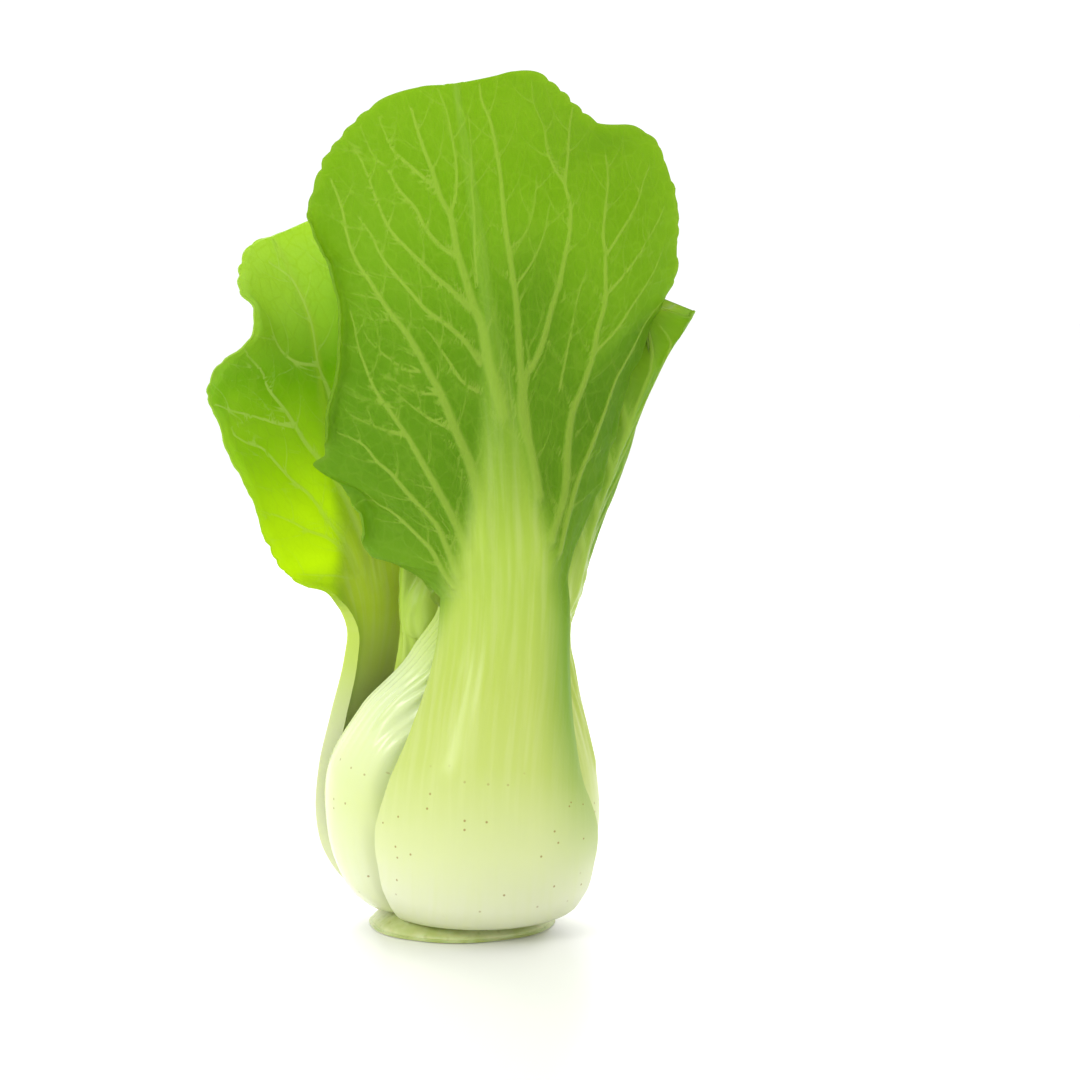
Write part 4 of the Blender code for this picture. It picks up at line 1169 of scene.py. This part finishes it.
# A wet stalk with a painted highlight: lighter at heights 0.28 to 0.36, high on the bulb.
STALK_WITH_PAINTED_HIGHLIGHT = (
    (0.0, 226, 234, 182), (0.1, 236, 243, 198), (0.2, 228, 241, 164), (0.28, 234, 247, 180),
    (0.36, 232, 248, 184), (0.44, 206, 230, 120), (0.5, 176, 206, 70), (0.7, 150, 190, 46),
)
# A stalk painted lighter, as painted backlight on the left leaf.
PAINTED_LIT_STALK = (
    (0.0, 242, 248, 210), (0.15, 248, 252, 214), (0.32, 244, 250, 200), (0.42, 222, 240, 120),
    (0.5, 208, 232, 70), (0.6, 206, 234, 60),
)
HEART_STALK = ((0.0, 232, 236, 180), (0.25, 214, 230, 120), (0.45, 190, 218, 80), (0.75, 160, 204, 50))
GREEN = ((0.5, 132, 184, 26), (0.6, 118, 176, 20), (0.8, 116, 176, 22), (1.0, 128, 186, 28))
# Blade colours with painted light: lighter where backlit, painted shade at 0.82 in the hollow under the fold,
# and a painted sheen towards the tip.
LIT_AND_SHADED_BLADE_PAINT = (
    (0.5, 204, 232, 60), (0.58, 222, 246, 70), (0.7, 164, 224, 30), (0.82, 112, 186, 20),
    (0.92, 176, 226, 90), (1.0, 190, 232, 110),
)
THIN = ((0.5, 0.4), (0.6, 0.5), (1.0, 0.6))
LIT = ((0.52, 0.6), (0.58, 0.9), (0.66, 0.76), (0.74, 0.4), (0.84, 0.22), (0.93, 0.45), (1.0, 0.6))
young = colour(200, 228, 70)
sunlit = colour(226, 252, 50)
outer_green = leaf_finish("bok_choy_leaf", OUTER_STALK, GREEN, colour(148, 202, 48), young, THIN)
# The leaf beside the left leaf: a wetter coat, and a painted highlight on its stalk.
wet_green_with_painted_highlight = leaf_finish("bok_choy_wet_leaf_with_painted_highlight", STALK_WITH_PAINTED_HIGHLIGHT, GREEN, colour(148, 202, 48), young, THIN, 0.9)
# The left leaf's lighter copy, with painted backlight, painted shade and a painted sheen.
painted_lit_green = leaf_finish("bok_choy_painted_lit_leaf", PAINTED_LIT_STALK, LIT_AND_SHADED_BLADE_PAINT, colour(188, 232, 60), sunlit, LIT)
# The heart's blades carry the same painted light and shade.
heart_green = leaf_finish("bok_choy_heart", HEART_STALK, LIT_AND_SHADED_BLADE_PAINT, colour(168, 216, 56), young, THIN)

# %% [markdown]
# ## Growing the leaves
# A grid is the rows of the stalk, the rows of the blade, and the columns of half the leaf. The front leaf has
# the finest. Each new leaf rides with the head and stands in for the plain leaf of the same name.

# %% All leaves
FRONT_GRID = (70, 190, 78)
OUTER_GRID = (50, 120, 56)
HEART_GRID = (30, 60, 31)
chance = np.random.default_rng(5)
special = {"leaf_left": painted_lit_green, "leaf_left_front": wet_green_with_painted_highlight}
for leaf in LEAVES:
    name = leaf["name"]
    outside = is_outer(leaf)
    grid = FRONT_GRID if name == "leaf_front" else OUTER_GRID if outside else HEART_GRID
    piece = grown(leaf, *grid, chance)
    piece.data.materials.append(special.get(name, outer_green if outside else heart_green))
    bpy.context.scene.collection.objects.link(piece)
    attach(piece, "root")
    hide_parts(name)
    print(name, len(piece.data.polygons), "faces")

# %% [markdown]
# ## The cut stump
# The stump is turned: a profile of radius and height carried round a circle. The knife leaves a flat disc
# with a wet rim that isn't quite round.


# %% The stump
RIM_SCALE = 1.0073


def turned(name, profile, around):
    """A profile of (radius, height) carried round: x = r cos a, y = r sin a, with a slow wobble in r."""
    radius, height = np.array(profile, float).T
    knots = np.arange(len(profile))
    fine = np.linspace(0, len(profile) - 1, 8 * (len(profile) - 1) + 1)
    radius, height = smooth(knots, radius, fine)[1:-1], smooth(knots, height, fine)[1:-1]
    angle = np.arange(around) * 2 * np.pi / around
    ring = radius[:, None] * (RIM_SCALE + 0.012 * np.sin(3 * angle + 1) + 0.008 * np.sin(7 * angle))
    points = np.stack([ring * np.cos(angle), ring * np.sin(angle), height[:, None] + 0 * ring], -1)
    count = len(radius) * around
    corner = np.arange(count).reshape(len(radius), around)
    after = np.roll(corner, -1, axis=1)
    quads = np.stack([corner[:-1], after[:-1], after[1:], corner[1:]], -1).reshape(-1, 4)
    low = np.stack([after[0], corner[0], np.full(around, count)], -1)
    high = np.stack([corner[-1], after[-1], np.full(around, count + 1)], -1)
    ends = [[0, 0, profile[0][1]], [0, 0, profile[-1][1]]]
    data = bpy.data.meshes.new(name)
    places = (np.concatenate([points.reshape(-1, 3), ends]) * MM).tolist()
    data.from_pydata(places, [], [*quads.tolist(), *low.tolist(), *high.tolist()])
    data.shade_smooth()
    data.set_sharp_from_angle(angle=np.radians(50))
    return bpy.data.objects.new(name, data)


def cut_finish():
    """Damp cut flesh: pale green with darker strands, and glossy."""
    made, shader, here = blank("cut_stump")
    place = here.node("ShaderNodeTexCoord", {}, {}, OBJECT_OUTPUT)
    clouds = here.node("ShaderNodeTexNoise", {}, {"Vector": place, "Scale": 160.0, "Detail": 4.0})
    strands = here.node("ShaderNodeTexVoronoi", {}, {"Vector": place, "Scale": 500.0})
    paint = clouds.step(0.35, 0.65).mixed(colour(198, 212, 128), colour(226, 234, 172))
    paint = ((1 - strands.step(0.1, 0.3)) * 0.3).mixed(paint, colour(150, 162, 70))
    paint.into(shader.inputs["Base Color"])
    (0.22 + clouds * 0.25).into(shader.inputs["Roughness"])
    height = clouds + strands * 0.5
    bump = here.node("ShaderNodeBump", {}, {"Height": height, "Strength": 0.3, "Distance": 0.0006})
    bump.into(shader.inputs["Normal"])
    shader.inputs["Subsurface Weight"].default_value = 0.15
    shader.inputs["Subsurface Scale"].default_value = 0.003
    return made


profile = (
    (0.0, 0.0), (17.4, 0.0), (18.3, 0.4), (18.0, 1.2), (16.0, 2.6), (13.0, 4.4), (9.5, 6.8), (6.0, 9.1),
    (3.0, 10.5), (0.0, 11.0),
)
stump = turned("cut_stump", profile, 160)
stump.data.materials.append(cut_finish())
bpy.context.scene.collection.objects.link(stump)
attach(stump, "root")
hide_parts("stump")
print("stump", len(stump.data.polygons), "faces")

# %% [markdown]
# ## The table
# One pale, slightly glossy sheet, wide enough that its edge is never seen.

# %% The floor
data = bpy.data.meshes.new("table")
low = solid_low.z - 0.05 * MM
data.from_pydata([(-2, -2, low), (2, -2, low), (2, 2, low), (-2, 2, low)], [], [(0, 1, 2, 3)])
table = bpy.data.objects.new("table", data)
sheet, shader, _ = blank("white_sheet")
shader.inputs["Base Color"].default_value = (0.93, 0.93, 0.92, 1)
shader.inputs["Roughness"].default_value = 0.28
data.materials.append(sheet)
bpy.context.scene.collection.objects.link(table)
table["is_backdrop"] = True
print("the table lies at", round(low / MM, 2), "mm")

# %% [markdown]
# ## Sizes
# The dressed head must stay inside the box of the solids, but for the little that living edges stand proud.

# %% Both boxes
low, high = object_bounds()
print("solids ", [round(v / MM, 1) for v in (*solid_low, *solid_high)])
print("dressed", [round(v / MM, 1) for v in (*low, *high)])
